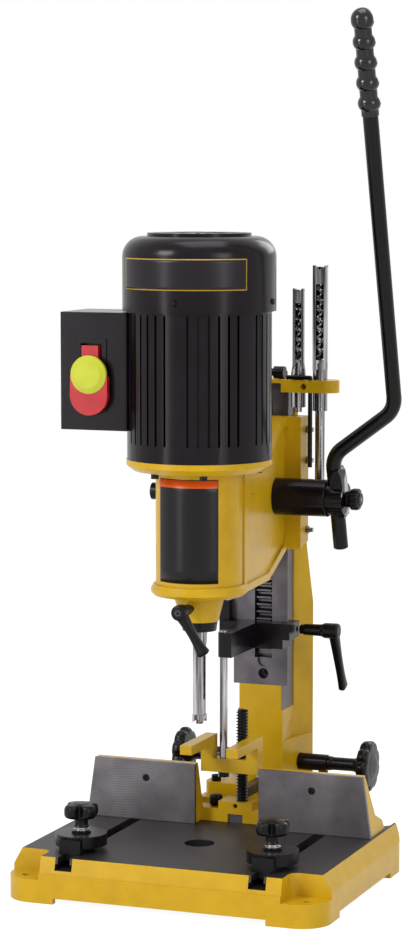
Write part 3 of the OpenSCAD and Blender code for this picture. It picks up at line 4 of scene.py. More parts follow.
import bmesh
import bpy
import numpy as np
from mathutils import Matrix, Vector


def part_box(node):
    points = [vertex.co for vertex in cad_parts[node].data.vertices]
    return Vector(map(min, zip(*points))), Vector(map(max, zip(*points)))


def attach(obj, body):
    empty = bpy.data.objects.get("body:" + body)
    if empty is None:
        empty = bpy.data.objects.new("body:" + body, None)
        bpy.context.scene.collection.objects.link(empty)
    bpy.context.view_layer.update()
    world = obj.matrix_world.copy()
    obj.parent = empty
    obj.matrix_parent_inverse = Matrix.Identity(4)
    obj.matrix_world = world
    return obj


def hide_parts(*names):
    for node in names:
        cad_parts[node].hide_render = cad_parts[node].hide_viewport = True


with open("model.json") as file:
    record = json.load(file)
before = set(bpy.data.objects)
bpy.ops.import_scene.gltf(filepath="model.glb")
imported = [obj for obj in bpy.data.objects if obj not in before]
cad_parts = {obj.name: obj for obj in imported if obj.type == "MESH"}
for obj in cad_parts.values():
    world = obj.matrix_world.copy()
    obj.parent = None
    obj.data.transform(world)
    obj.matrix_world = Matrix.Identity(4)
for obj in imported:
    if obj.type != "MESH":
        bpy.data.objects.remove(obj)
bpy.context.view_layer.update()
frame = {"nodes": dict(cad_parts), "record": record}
nodes = frame["nodes"]

# ---- Camera ----------------------------------------------------------------
# A long lens on the operator's right, a little over the motor's top. Its place
# was worked out from the base's corners and the waste hole.
camera = bpy.data.objects.new("camera", bpy.data.cameras.new("camera"))
bpy.context.scene.collection.objects.link(camera)
camera.location = (1.2622, -3.2845, 0.890)
camera.rotation_euler = (math.radians(84.02), 0.0, math.radians(21.07))
camera.data.lens = 108.65
camera.data.sensor_width = 36.0
camera.data.clip_end = 50.0
bpy.context.scene.camera = camera
bpy.context.scene.view_settings.view_transform = "Standard"


# ---- Floor and light -------------------------------------------------------
# A plain white sweep under soft lamps. The camera, and what metal mirrors, see
# plain white; the floor keeps the machine's shadow.
def linear(code):
    """sRGB hex code to the linear colour with alpha that the shaders take."""
    rgb = np.array([int(code[i:i + 2], 16) for i in (1, 3, 5)]) / 255.0
    out = np.where(rgb <= 0.04045, rgb / 12.92, ((rgb + 0.055) / 1.055) ** 2.4)
    return (*out.tolist(), 1.0)


def add(tree, kind, links=None, **settings):
    """Adds one node with its settings, and sets or joins its input sockets."""
    node = tree.nodes.new(kind)
    for key, value in settings.items():
        setattr(node, key, value)
    for key, value in (links or {}).items():
        if isinstance(value, bpy.types.NodeSocket):
            tree.links.new(value, node.inputs[key])
        else:
            node.inputs[key].default_value = value
    return node


def new_material(name):
    """An empty node material: gives the material and its tree."""
    material = bpy.data.materials.new(name)
    material.use_nodes = True
    material.node_tree.nodes.clear()
    return material, material.node_tree


def new_piece(name, points, faces, material):
    """A smooth mesh object from arrays of points and faces, with one material."""
    mesh = bpy.data.meshes.new(name)
    mesh.from_pydata(np.asarray(points, dtype=float).tolist(), [], faces)
    mesh.materials.append(material)
    mesh.polygons.foreach_set("use_smooth", [True] * len(mesh.polygons))
    mesh.update()
    piece = bpy.data.objects.new(name, mesh)
    bpy.context.scene.collection.objects.link(piece)
    return piece


def seen_white(tree):
    """Is Camera, Glossy or Transmission Ray: 1 where the eye sees the surface itself."""
    path = add(tree, "ShaderNodeLightPath")
    both = add(tree, "ShaderNodeMath", {0: path.outputs["Is Camera Ray"], 1: path.outputs["Is Glossy Ray"]},
               operation="MAXIMUM")
    return add(tree, "ShaderNodeMath", {0: both.outputs[0], 1: path.outputs["Is Transmission Ray"]},
               operation="MAXIMUM").outputs[0]


world = bpy.data.worlds.new("studio")
bpy.context.scene.world = world
world.use_nodes = True
sky = world.node_tree
sky.nodes.clear()
lamp_side = add(sky, "ShaderNodeBackground", {"Color": linear("#F4F4F6"), "Strength": 0.42})
eye_side = add(sky, "ShaderNodeBackground", {"Color": (1.0, 1.0, 1.0, 1.0), "Strength": 1.0})
sky_mix = add(sky, "ShaderNodeMixShader", {0: seen_white(sky), 1: lamp_side.outputs[0],
                                           2: eye_side.outputs[0]})
add(sky, "ShaderNodeOutputWorld", {"Surface": sky_mix.outputs[0]})

# matt white board: a diffuse part that takes the shadow, lit up to white for the eye
board, tree = new_material("matt_white_board")
paint = add(tree, "ShaderNodeBsdfDiffuse", {"Color": linear("#F6F6F6")})
glow = add(tree, "ShaderNodeEmission", {"Color": (1.0, 1.0, 1.0, 1.0), "Strength": 1.15})
lit = add(tree, "ShaderNodeMixShader", {0: 0.82, 1: paint.outputs[0], 2: glow.outputs[0]})
plain = add(tree, "ShaderNodeMixShader", {0: seen_white(tree), 1: paint.outputs[0], 2: lit.outputs[0]})
add(tree, "ShaderNodeOutputMaterial", {"Surface": plain.outputs[0]})
floor = new_piece("floor", [(-14, -14, 0), (14, -14, 0), (14, 14, 0), (-14, 14, 0)], [(0, 1, 2, 3)], board)

# each lamp has its place, width, height and power in watts, and is aimed at the machine's middle
machine_middle = np.array([0.0, 0.05, 0.45])
for name, place, size, tall, power in (
        ("key_softbox", (-1.7, -2.6, 2.2), 1.1, 1.1, 62.0),
        ("fill_softbox", (2.4, -1.6, 1.5), 1.2, 1.2, 20.0),
        ("top_softbox", (0.2, -0.2, 3.0), 1.6, 1.6, 30.0),
        ("back_softbox", (0.8, 2.6, 1.8), 1.4, 1.4, 22.0),
        ("left_strip", (-1.35, -2.2, 0.75), 0.10, 1.5, 9.0),
        ("right_strip", (2.3, -1.5, 0.75), 0.08, 1.5, 5.0)):
    lamp = bpy.data.objects.new(name, bpy.data.lights.new(name, "AREA"))
    lamp.data.shape = "RECTANGLE"
    lamp.data.size = size
    lamp.data.size_y = tall
    lamp.data.energy = power
    lamp.location = place
    aim = machine_middle - np.array(place)
    tilt = math.acos(-aim[2] / np.linalg.norm(aim))
    lamp.rotation_euler = (tilt, 0.0, math.atan2(aim[1], aim[0]) - math.pi / 2)
    bpy.context.scene.collection.objects.link(lamp)

# ---- Castings: base, column, head, fence, fork, tool holder ----------------
# Grey iron cast in sand, filled and sprayed with golden yellow enamel. The
# paint rounds every edge a little and follows the sand's soft grain.


def dressed_copy(node, name, material, width, segments=3, angle=28.0):
    """A copy of a CAD solid, its loose triangles joined into flat faces and its edges rounded to a radius."""
    source = nodes[node]
    shape = bmesh.new()
    shape.from_mesh(source.data)
    bmesh.ops.remove_doubles(shape, verts=shape.verts, dist=2e-6)
    bmesh.ops.dissolve_limit(shape, angle_limit=math.radians(0.6), verts=shape.verts, edges=shape.edges,
                             delimit={"NORMAL"})
    mesh = bpy.data.meshes.new(name)
    shape.to_mesh(mesh)
    shape.free()
    mesh.materials.clear()
    mesh.materials.append(material)
    mesh.polygons.foreach_set("use_smooth", [True] * len(mesh.polygons))
    piece = bpy.data.objects.new(name, mesh)
    bpy.context.scene.collection.objects.link(piece)
    edge = piece.modifiers.new("rounded_edges", "BEVEL")
    edge.width = width
    edge.segments = segments
    edge.limit_method = "ANGLE"
    edge.angle_limit = math.radians(angle)
    edge.use_clamp_overlap = True
    edge.miter_outer = "MITER_ARC"
    flat = piece.modifiers.new("flat_faces_stay_flat", "WEIGHTED_NORMAL")
    flat.weight = 100
    flat.keep_sharp = True
    bodies = frame["record"]["behaviour"]["bodies"]
    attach(piece, next(body for body, members in bodies.items() if node in members))
    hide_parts(node)


def enamel(name, code, deep, grain=0.0016, rough=0.30, lift=0.00007, shine=0.26):
    """Sprayed enamel: one hue with slow drift in depth, and orange peel of the grain's size in metres."""
    material, tree = new_material(name)
    place = add(tree, "ShaderNodeTexCoord").outputs["Object"]
    slow = add(tree, "ShaderNodeTexNoise", {"Vector": place, "Scale": 30.0, "Detail": 4.0, "Roughness": 0.6})
    hue = add(tree, "ShaderNodeValToRGB", {"Fac": slow.outputs["Fac"]})
    hue.color_ramp.elements[0].color, hue.color_ramp.elements[0].position = linear(deep), 0.30
    hue.color_ramp.elements[1].color, hue.color_ramp.elements[1].position = linear(code), 0.66
    peel = add(tree, "ShaderNodeTexNoise", {"Vector": place, "Scale": 1.0 / grain, "Detail": 2.0,
                                            "Roughness": 0.5})
    swell = add(tree, "ShaderNodeTexNoise", {"Vector": place, "Scale": 0.09 / grain, "Detail": 1.0})
    mixed = add(tree, "ShaderNodeMath", {0: peel.outputs["Fac"], 1: swell.outputs["Fac"]}, operation="ADD")
    bump = add(tree, "ShaderNodeBump", {"Height": mixed.outputs[0], "Strength": 0.55, "Distance": lift})
    sheen = add(tree, "ShaderNodeMapRange", {"Value": slow.outputs["Fac"], "To Min": rough - 0.05,
                                             "To Max": rough + 0.07})
    shader = add(tree, "ShaderNodeBsdfPrincipled", {"Base Color": hue.outputs["Color"], "IOR": 1.5,
                                                    "Specular IOR Level": shine,
                                                    "Roughness": sheen.outputs["Result"],
                                                    "Normal": bump.outputs["Normal"]})
    add(tree, "ShaderNodeOutputMaterial", {"Surface": shader.outputs["BSDF"]})
    return material, tree, shader


def all_of(tree, *tests):
    """1 where each (value, comparison, limit) holds, else 0: the product of the comparisons."""
    whole = 1.0
    for value, comparison, limit in tests:
        part = add(tree, "ShaderNodeMath", {0: value, 1: limit}, operation=comparison)
        whole = add(tree, "ShaderNodeMath", {0: whole, 1: part.outputs[0]}, operation="MULTIPLY").outputs[0]
    return whole


def bared(tree, bare, painted, metal):
    """Shows the metal in place of the paint where the mask is 1."""
    both = add(tree, "ShaderNodeMixShader", {0: bare, 1: painted.outputs["BSDF"], 2: metal.outputs["BSDF"]})
    output = next(node for node in tree.nodes if node.type == "OUTPUT_MATERIAL")
    tree.links.new(both.outputs[0], output.inputs["Surface"])


golden, golden_deep = "#C49C12", "#B8910C"
yellow_enamel, _, _ = enamel("golden_yellow_enamel", golden, golden_deep)

# the base's enamel stops at the ground table top and in the machined T-slots; the wall of the waste hole is
# given the same dark iron
table_low, table_high = 0.05745, 0.0590
slot_x, slot_half, slot_bottom, slot_end = 0.126, 0.01128, 0.0418, 0.1685
chisel_y, waste_r = -0.031, 0.0206
base_finish, tree, painted = enamel("golden_yellow_enamel_and_ground_table", golden, golden_deep)
place = add(tree, "ShaderNodeTexCoord").outputs["Object"]
where = add(tree, "ShaderNodeSeparateXYZ", {"Vector": place})
side = add(tree, "ShaderNodeMath", {0: where.outputs["X"]}, operation="ABSOLUTE")
from_slot = add(tree, "ShaderNodeMath", {0: side.outputs[0], 1: slot_x}, operation="SUBTRACT")
off_slot = add(tree, "ShaderNodeMath", {0: from_slot.outputs[0]}, operation="ABSOLUTE")
ends = add(tree, "ShaderNodeMath", {0: where.outputs["Y"]}, operation="ABSOLUTE")
bored = add(tree, "ShaderNodeVectorMath", {0: place, 1: (0.0, chisel_y, 0.0)}, operation="SUBTRACT")
flat_way = add(tree, "ShaderNodeVectorMath", {0: bored.outputs[0], 1: (1.0, 1.0, 0.0)}, operation="MULTIPLY")
away = add(tree, "ShaderNodeVectorMath", {0: flat_way.outputs[0]}, operation="LENGTH")
table = all_of(tree, (where.outputs["Z"], "GREATER_THAN", table_low),
               (where.outputs["Z"], "LESS_THAN", table_high))
slots = all_of(tree, (off_slot.outputs[0], "LESS_THAN", slot_half),
               (where.outputs["Z"], "GREATER_THAN", slot_bottom), (ends.outputs[0], "LESS_THAN", slot_end))
hole = all_of(tree, (away.outputs["Value"], "LESS_THAN", waste_r))
bare = add(tree, "ShaderNodeMath", {0: table, 1: slots}, operation="MAXIMUM")
bare = add(tree, "ShaderNodeMath", {0: bare.outputs[0], 1: hole}, operation="MAXIMUM")
# ground grey iron, oiled: fine marks of the grinding wheel across the table, drawn 0.9 mm apart to show
across = add(tree, "ShaderNodeMapping", {"Vector": place, "Scale": (60.0, 1100.0, 60.0)})
marks = add(tree, "ShaderNodeTexNoise", {"Vector": across.outputs["Vector"], "Scale": 1.0, "Detail": 2.0})
stain = add(tree, "ShaderNodeTexNoise", {"Vector": place, "Scale": 11.0, "Detail": 4.0})
iron_hue = add(tree, "ShaderNodeValToRGB", {"Fac": stain.outputs["Fac"]})
iron_hue.color_ramp.elements[0].color, iron_hue.color_ramp.elements[0].position = linear("#2B2829"), 0.3
iron_hue.color_ramp.elements[1].color, iron_hue.color_ramp.elements[1].position = linear("#383435"), 0.75
iron_bump = add(tree, "ShaderNodeBump", {"Height": marks.outputs["Fac"], "Strength": 0.4,
                                         "Distance": 0.00003})
iron = add(tree, "ShaderNodeBsdfPrincipled", {"Base Color": iron_hue.outputs["Color"], "Metallic": 0.75,
                                              "Roughness": 0.46, "Normal": iron_bump.outputs["Normal"]})
bared(tree, bare.outputs[0], painted, iron)

# the column's enamel stops at the ground sides of its neck, which show grinding marks 0.8 mm apart
neck_side, side_skin, neck_bottom, neck_back = 0.0295, 0.0004, 0.1885, 0.2355
column_finish, tree, painted = enamel("golden_yellow_enamel_and_ground_sides", golden, golden_deep)
place = add(tree, "ShaderNodeTexCoord").outputs["Object"]
where = add(tree, "ShaderNodeSeparateXYZ", {"Vector": place})
side = add(tree, "ShaderNodeMath", {0: where.outputs["X"]}, operation="ABSOLUTE")
from_side = add(tree, "ShaderNodeMath", {0: side.outputs[0], 1: neck_side}, operation="SUBTRACT")
off_side = add(tree, "ShaderNodeMath", {0: from_side.outputs[0]}, operation="ABSOLUTE")
bare = all_of(tree, (off_side.outputs[0], "LESS_THAN", side_skin),
              (where.outputs["Z"], "GREATER_THAN", neck_bottom), (where.outputs["Y"], "LESS_THAN", neck_back))
across = add(tree, "ShaderNodeMapping", {"Vector": place, "Scale": (60.0, 1300.0, 25.0)})
marks = add(tree, "ShaderNodeTexNoise", {"Vector": across.outputs["Vector"], "Scale": 1.0, "Detail": 2.0})
iron_hue = add(tree, "ShaderNodeValToRGB", {"Fac": marks.outputs["Fac"]})
iron_hue.color_ramp.elements[0].color, iron_hue.color_ramp.elements[0].position = linear("#565153"), 0.3
iron_hue.color_ramp.elements[1].color, iron_hue.color_ramp.elements[1].position = linear("#7A7678"), 0.75
iron = add(tree, "ShaderNodeBsdfPrincipled", {"Base Color": iron_hue.outputs["Color"], "Metallic": 0.85,
                                              "Roughness": 0.42})
bared(tree, bare, painted, iron)

dressed_copy("base", "base_casting", base_finish, 0.0016)
dressed_copy("column", "column_casting", column_finish, 0.0022)
dressed_copy("head_casting", "head_shell", yellow_enamel, 0.0022)
dressed_copy("fence_casting", "fence_shell", yellow_enamel, 0.0015)
dressed_copy("hold_down_fork", "fork_casting", yellow_enamel, 0.0014)
dressed_copy("tool_holder", "holder_casting", yellow_enamel, 0.0012)

# ---- Ground ways, rack and keys --------------------------------------------
# Grey iron and steel, planed and ground after casting, left bare and oiled.


def ground_metal(name, code, deep, rough, stretch, lift=0.00002):
    """Ground metal: long fine scratches along the axis whose scale is small, and slow staining."""
    material, tree = new_material(name)
    place = add(tree, "ShaderNodeTexCoord").outputs["Object"]
    along = add(tree, "ShaderNodeMapping", {"Vector": place, "Scale": stretch})
    marks = add(tree, "ShaderNodeTexNoise", {"Vector": along.outputs["Vector"], "Scale": 1.0, "Detail": 3.0})
    stain = add(tree, "ShaderNodeTexNoise", {"Vector": place, "Scale": 30.0, "Detail": 3.0})
    hue = add(tree, "ShaderNodeValToRGB", {"Fac": stain.outputs["Fac"]})
    hue.color_ramp.elements[0].color, hue.color_ramp.elements[0].position = linear(deep), 0.32
    hue.color_ramp.elements[1].color, hue.color_ramp.elements[1].position = linear(code), 0.68
    bump = add(tree, "ShaderNodeBump", {"Height": marks.outputs["Fac"], "Strength": 0.5, "Distance": lift})
    sheen = add(tree, "ShaderNodeMapRange", {"Value": marks.outputs["Fac"], "To Min": rough - 0.08,
                                             "To Max": rough + 0.10})
    shader = add(tree, "ShaderNodeBsdfPrincipled", {"Base Color": hue.outputs["Color"], "Metallic": 1.0,
                                                    "Roughness": sheen.outputs["Result"],
                                                    "Normal": bump.outputs["Normal"]})
    add(tree, "ShaderNodeOutputMaterial", {"Surface": shader.outputs["BSDF"]})
    return material


def give(material, *names):
    """Gives the CAD solids of these names one material."""
    for name in names:
        nodes[name].data.materials.clear()
        nodes[name].data.materials.append(material)


way_iron = ground_metal("ground_grey_iron", "#6B666A", "#545056", 0.42, (1500.0, 60.0, 60.0))
rack_steel = ground_metal("milled_rack_steel", "#6A666A", "#4C494D", 0.40, (60.0, 1500.0, 1500.0))
give(way_iron, "dovetail_way", "guide_key", "gib", "end_bell")
give(rack_steel, "feed_rack", "fence_rack", "feed_gear", "rotor", "chuck_body")

# ---- Fence plates ----------------------------------------------------------
# Cold-rolled steel, face-ground with a cup wheel, which leaves fine arcs that
# cross the plate; drawn 2.2 mm apart, coarser than they are, so that they show.
plate_steel, tree = new_material("face_ground_steel")
place = add(tree, "ShaderNodeTexCoord").outputs["Object"]
arc_scale = 145.0
centred = add(tree, "ShaderNodeMapping", {"Vector": place, "Location": (0.12, 0.0, 0.16)})
arcs = add(tree, "ShaderNodeTexWave", {"Vector": centred.outputs["Vector"], "Scale": arc_scale,
                                       "Distortion": 0.6, "Detail": 1.0, "Detail Scale": 40.0},
           wave_type="RINGS", rings_direction="Y")
stain = add(tree, "ShaderNodeTexNoise", {"Vector": place, "Scale": 26.0, "Detail": 4.0})
hue = add(tree, "ShaderNodeValToRGB", {"Fac": stain.outputs["Fac"]})
hue.color_ramp.elements[0].color, hue.color_ramp.elements[0].position = linear("#5F5B5E"), 0.3
hue.color_ramp.elements[1].color, hue.color_ramp.elements[1].position = linear("#787477"), 0.7
bump = add(tree, "ShaderNodeBump", {"Height": arcs.outputs["Fac"], "Strength": 0.35, "Distance": 0.00003})
# the arcs also scale the colour from 0.72 to 1.18: painted sheen, the light and dark bands the arcs throw
# back, laid over their real pattern in the bump
painted_arc_sheen = add(tree, "ShaderNodeMapRange", {"Value": arcs.outputs["Fac"], "To Min": 0.72, "To Max": 1.18})
lined = add(tree, "ShaderNodeVectorMath", {0: hue.outputs["Color"], "Scale": painted_arc_sheen.outputs["Result"]},
            operation="SCALE")
shader = add(tree, "ShaderNodeBsdfPrincipled", {"Base Color": lined.outputs["Vector"], "Metallic": 0.9,
                                                "Roughness": 0.42, "Normal": bump.outputs["Normal"]})
add(tree, "ShaderNodeOutputMaterial", {"Surface": shader.outputs["BSDF"]})
dressed_copy("fence_plates", "ground_plates", plate_steel, 0.0006, 2)

# ---- Motor, switch box, housing, hold-down block ---------------------------
# Die-cast shell and pressed cover, both in semi-gloss black enamel, which is a
# little plum in strong light.
black_enamel, _, _ = enamel("black_enamel", "#120B11", "#0B060A", 0.0011, 0.22, 0.00003, 0.18)
for node, name, width in (
        ("motor_shell", "finned_shell", 0.0007), ("switch_box", "switch_case", 0.0022),
        ("shaft_housing", "feed_housing", 0.0025), ("hold_down_block", "hold_down_slide", 0.0012),
        ("fan_cover", "fan_cowl", 0.0006), ("lever_hub", "lever_boss", 0.0022),
        ("shaft_bushings", "fence_bushings", 0.0008)):
    dressed_copy(node, name, black_enamel, width, 2)

# ---- Plates on the motor and the barrel ------------------------------------
# Thin printed metal foils, glued on. Both are left bare: the motor's has only
# its gilt border, the barrel's a black field with an orange head and a pale edge.


def curved_foil(name, radius, start, end, low, high, border, thick, colours, material_name, head=0.0):
    """A foil on a cylinder round the chisel's line: angle and height run over a grid, radius is constant.
    The colour follows the foil's own UV map in metres: border outside, field inside, head band on top."""
    wide = math.radians(end - start) * radius
    tall = high - low
    across, up = 49, 9
    u = np.linspace(0, 1, across)
    v = np.linspace(0, 1, up)
    angle = np.radians(start + (end - start) * u)[:, None]
    out_x, out_y, height = np.broadcast_arrays(np.cos(angle), np.sin(angle), (low + tall * v)[None, :])
    front = np.stack([radius * out_x, radius * out_y + chisel_y, height], -1).reshape(-1, 3)
    behind = front - thick * np.stack([out_x, out_y, 0 * height], -1).reshape(-1, 3)
    i, j = np.meshgrid(np.arange(across - 1), np.arange(up - 1), indexing="ij")
    out = np.stack([i * up + j, (i + 1) * up + j, (i + 1) * up + j + 1, i * up + j + 1], -1).reshape(-1, 4)
    back = out[:, ::-1] + across * up
    loop = np.concatenate([np.arange(across) * up, (across - 1) * up + np.arange(1, up),
                           np.arange(across - 2, -1, -1) * up + up - 1, np.arange(up - 2, 0, -1)])
    follow = np.roll(loop, -1)
    side = np.stack([loop, loop + across * up, follow + across * up, follow], -1)
    material, tree = new_material(material_name)
    field, edge, band = colours
    uv_map = add(tree, "ShaderNodeUVMap", uv_map="foil")
    uv = add(tree, "ShaderNodeSeparateXYZ", {"Vector": uv_map.outputs["UV"]})
    tests = []
    for socket, size in (("X", wide), ("Y", tall)):
        off = add(tree, "ShaderNodeMath", {0: uv.outputs[socket], 1: size / 2}, operation="SUBTRACT")
        off = add(tree, "ShaderNodeMath", {0: off.outputs[0]}, operation="ABSOLUTE")
        tests.append((off.outputs[0], "LESS_THAN", size / 2 - border))
    inner = all_of(tree, *tests)
    top = all_of(tree, (uv.outputs["Y"], "GREATER_THAN", tall - head))
    first = add(tree, "ShaderNodeMix", {0: top, 6: linear(field), 7: linear(band)}, data_type="RGBA")
    colour = add(tree, "ShaderNodeMix", {0: inner, 6: linear(edge), 7: first.outputs[2]}, data_type="RGBA")
    shader = add(tree, "ShaderNodeBsdfPrincipled", {"Base Color": colour.outputs[2], "Roughness": 0.30,
                                                    "IOR": 1.5, "Specular IOR Level": 0.25})
    add(tree, "ShaderNodeOutputMaterial", {"Surface": shader.outputs["BSDF"]})
    faces = out.tolist() + back.tolist() + side.tolist()
    piece = new_piece(name, np.concatenate([front, behind]), faces, material)
    layer = piece.data.uv_layers.new(name="foil")
    flat = np.stack([np.repeat(u * wide, up), np.tile(v * tall, across)], -1)
    flat = np.concatenate([flat, flat])
    corners = np.empty(len(piece.data.loops), dtype=int)
    piece.data.loops.foreach_get("vertex_index", corners)
    layer.data.foreach_set("uv", flat[corners].ravel())
    return piece


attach(curved_foil("motor_plate", 0.09475, -139.5, -31.7, 0.7505, 0.7884, 0.0012, 0.0004,
                    ("#151015", "#B98F1E", "#151015"), "gilt_bordered_black_foil"), "head")
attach(curved_foil("barrel_plate", 0.05425, -131.5, -43.5, 0.3915, 0.5195, 0.0009, 0.0004,
                    ("#0D0B0E", "#3A3638", "#D9571C"), "black_foil_with_orange_head", 0.0105), "head")

# ---- Black oxide steel -----------------------------------------------------
# The feed lever and the screws: steel blackened in a hot salt bath, satin.
black_oxide, _, _ = enamel("black_oxide_steel", "#0D0A0D", "#080608", 0.0009, 0.24, 0.00002, 0.20)
give(black_oxide, "feed_lever", "chuck_key", "hex_wrench", "fork_nut", "plate_screws", "frame_screws",
     "motor_bolts", "chisel_bushing", "fan_cover_screws")

# ---- Moulded plastic -------------------------------------------------------
# Phenolic and nylon knobs and levers: satin black with a fine moulded grain.
black_plastic, _, _ = enamel("moulded_black_plastic", "#0D0A0D", "#080608", 0.0007, 0.30, 0.00003, 0.18)
give(black_plastic, "stop_left", "stop_right", "switch_bezel", "access_plug", "cooling_fan")


def frame_of(axis, up):
    """Three unit vectors, as columns: side, up made square to the axis, and the axis."""
    axis = np.array(axis, dtype=float) / np.linalg.norm(axis)
    up = np.array(up, dtype=float)
    up = up - axis * (up @ axis)
    up = up / np.linalg.norm(up)
    return np.stack([np.cross(up, axis), up, axis], axis=1)


def closed_grid(name, rings, material):
    """Skins rings of points: rings[i, j] joins rings[i + 1, j] and j wraps round. Both ends close on a
    middle point."""
    rows, around = rings.shape[:2]
    points = np.concatenate([rings.reshape(-1, 3), [rings[0].mean(axis=0)], [rings[-1].mean(axis=0)]])
    i, j = np.meshgrid(np.arange(rows - 1), np.arange(around), indexing="ij")
    k = (j + 1) % around
    quads = np.stack([i * around + j, i * around + k, (i + 1) * around + k, (i + 1) * around + j], -1)
    a = np.arange(around)
    b = (a + 1) % around
    end = (rows - 1) * around
    first = np.stack([np.full(around, rows * around), b, a], -1)
    last = np.stack([np.full(around, rows * around + 1), end + a, end + b], -1)
    faces = quads.reshape(-1, 4).tolist() + first.tolist() + last.tolist()
    return new_piece(name, points, faces, material)


def lobed_knob(name, middle, axis, profile, lobes, depth, material, turn=0.0, up=(0, 0, 1)):
    """Profile (r, z) turned about the axis. The radius loses depth * |cos(lobes * angle / 2)|^5, so hollows
    are round and lobes are broad, and the loss fades to nothing towards the middle."""
    profile = np.array(profile)
    angle = np.linspace(0, 2 * np.pi, 24 * lobes, endpoint=False)
    reach = profile[:, 0].max()
    hollow = depth * np.abs(np.cos(lobes * (angle - turn) / 2)) ** 5
    fade = np.clip((profile[:, 0] / reach - 0.45) / 0.55, 0, 1) ** 1.5
    radius = profile[:, 0][:, None] - hollow[None, :] * fade[:, None]
    base = frame_of(axis, up)
    local = np.stack([radius * np.cos(angle), radius * np.sin(angle),
                      np.broadcast_to(profile[:, 1][:, None], radius.shape)], -1)
    return closed_grid(name, np.array(middle) + local @ base.T, material)


def rounded_profile(points, radius, steps=5):
    """A line of (r, z) corners with each inner corner turned by a quadratic curve of about the radius."""
    points = np.array(points, dtype=float)
    out = [points[0]]
    for a, b, c in zip(points[:-2], points[1:-1], points[2:]):
        d0, d1 = np.linalg.norm(a - b), np.linalg.norm(c - b)
        p0 = b + (a - b) * min(radius / d0, 0.48)
        p1 = b + (c - b) * min(radius / d1, 0.48)
        t = np.linspace(0, 1, steps + 1)[:, None]
        out.extend(((1 - t) ** 2 * p0 + 2 * t * (1 - t) * b + t ** 2 * p1))
    out.append(points[-1])
    return np.array(out)


def turned(name, middle, axis, corners, radius, material, around=64, up=(0, 0, 1)):
    """A lathe-turned piece: its (r, z) line, with rounded corners, swept round the axis."""
    profile = rounded_profile(corners, radius)
    angle = np.linspace(0, 2 * np.pi, around, endpoint=False)
    local = np.stack([profile[:, :1] * np.cos(angle), profile[:, :1] * np.sin(angle),
                      np.broadcast_to(profile[:, 1:], (len(profile), around))], -1)
    return closed_grid(name, np.array(middle) + local @ frame_of(axis, up).T, material)


def swept_bar(name, path, widths, depths, up, material, power=3.0, around=28):
    """A bar whose section is a superellipse |x/w|^p + |y/d|^p = 1, with its own width and depth at each
    point of the path."""
    path = np.array(path, dtype=float)
    axis = np.gradient(path, axis=0)
    angle = np.linspace(0, 2 * np.pi, around, endpoint=False)
    c, s = np.cos(angle), np.sin(angle)
    unit = np.stack([np.sign(c) * np.abs(c) ** (2 / power), np.sign(s) * np.abs(s) ** (2 / power)], -1)
    rings = [place + np.concatenate([unit * (w / 2, d / 2), np.zeros((around, 1))], -1) @ frame_of(t, up).T
             for place, w, d, t in zip(path, widths, depths, axis)]
    return closed_grid(name, np.array(rings), material)


def joined(name, pieces):
    """Several closed skins kept as one piece, under the first one's name."""
    shape = bmesh.new()
    for piece in pieces:
        shape.from_mesh(piece.data)
    mesh = bpy.data.meshes.new(name)
    shape.to_mesh(mesh)
    shape.free()
    mesh.materials.append(pieces[0].data.materials[0])
    for piece in pieces:
        bpy.data.objects.remove(piece)
    out = bpy.data.objects.new(name, mesh)
    bpy.context.scene.collection.objects.link(out)
    return out


def fitted(piece, body, *replaced):
    """Puts a finished piece on its body in place of CAD nodes."""
    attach(piece, body)
    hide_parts(*replaced)


# fence feed knobs, nine broad lobes, on long necks
shaft_y, shaft_z, neck_x = 0.236, 0.113, 0.0793
knobs = []
for side, reach in ((1, 0.047), (-1, 0.038)):
    start = side * neck_x
    lobes = rounded_profile([
        (0, 0), (0.0290, 0), (0.0325, 0.0020), (0.0340, 0.0060), (0.0338, 0.0110), (0.0318, 0.0142),
        (0.0270, 0.0155), (0.0165, 0.0158), (0.0150, 0.0164), (0, 0.0166)], 0.0025)
    knobs.append(lobed_knob("knob", (start + side * (reach + 0.0001), shaft_y, shaft_z), (side, 0, 0), lobes,
                            9, 0.0034, black_plastic))
    knobs.append(turned("neck", (start, shaft_y, shaft_z), (side, 0, 0), [
        (0, 0), (0.0094, 0), (0.0094, 0.005), (0.0086, 0.007), (0.0086, reach - 0.011),
        (0.0105, reach - 0.006), (0.0190, reach + 0.001), (0, reach + 0.001)], 0.0015, black_plastic, 40))
fitted(joined("fence_feed_knobs", knobs), "fence_feed", "fence_knobs")

# small knob that locks the fence
lock_x, lock_y = -0.0305, 0.107
lobes = rounded_profile([
    (0, 0), (0.0080, 0), (0.0087, 0.0040), (0.0085, 0.0125), (0.0058, 0.0145), (0, 0.0158)], 0.002)
fitted(joined("fence_lock", [
    lobed_knob("top", (lock_x, lock_y, 0.0748), (0, 0, 1), lobes, 5, 0.0022, black_plastic, up=(0, 1, 0)),
    turned("stem", (lock_x, lock_y, 0.0588), (0, 0, 1), [(0, 0), (0.004, 0), (0.004, 0.0165), (0, 0.0165)],
           0.0004, black_plastic, 24, (0, 1, 0))]), "fence_lock", "fence_lock_knob")

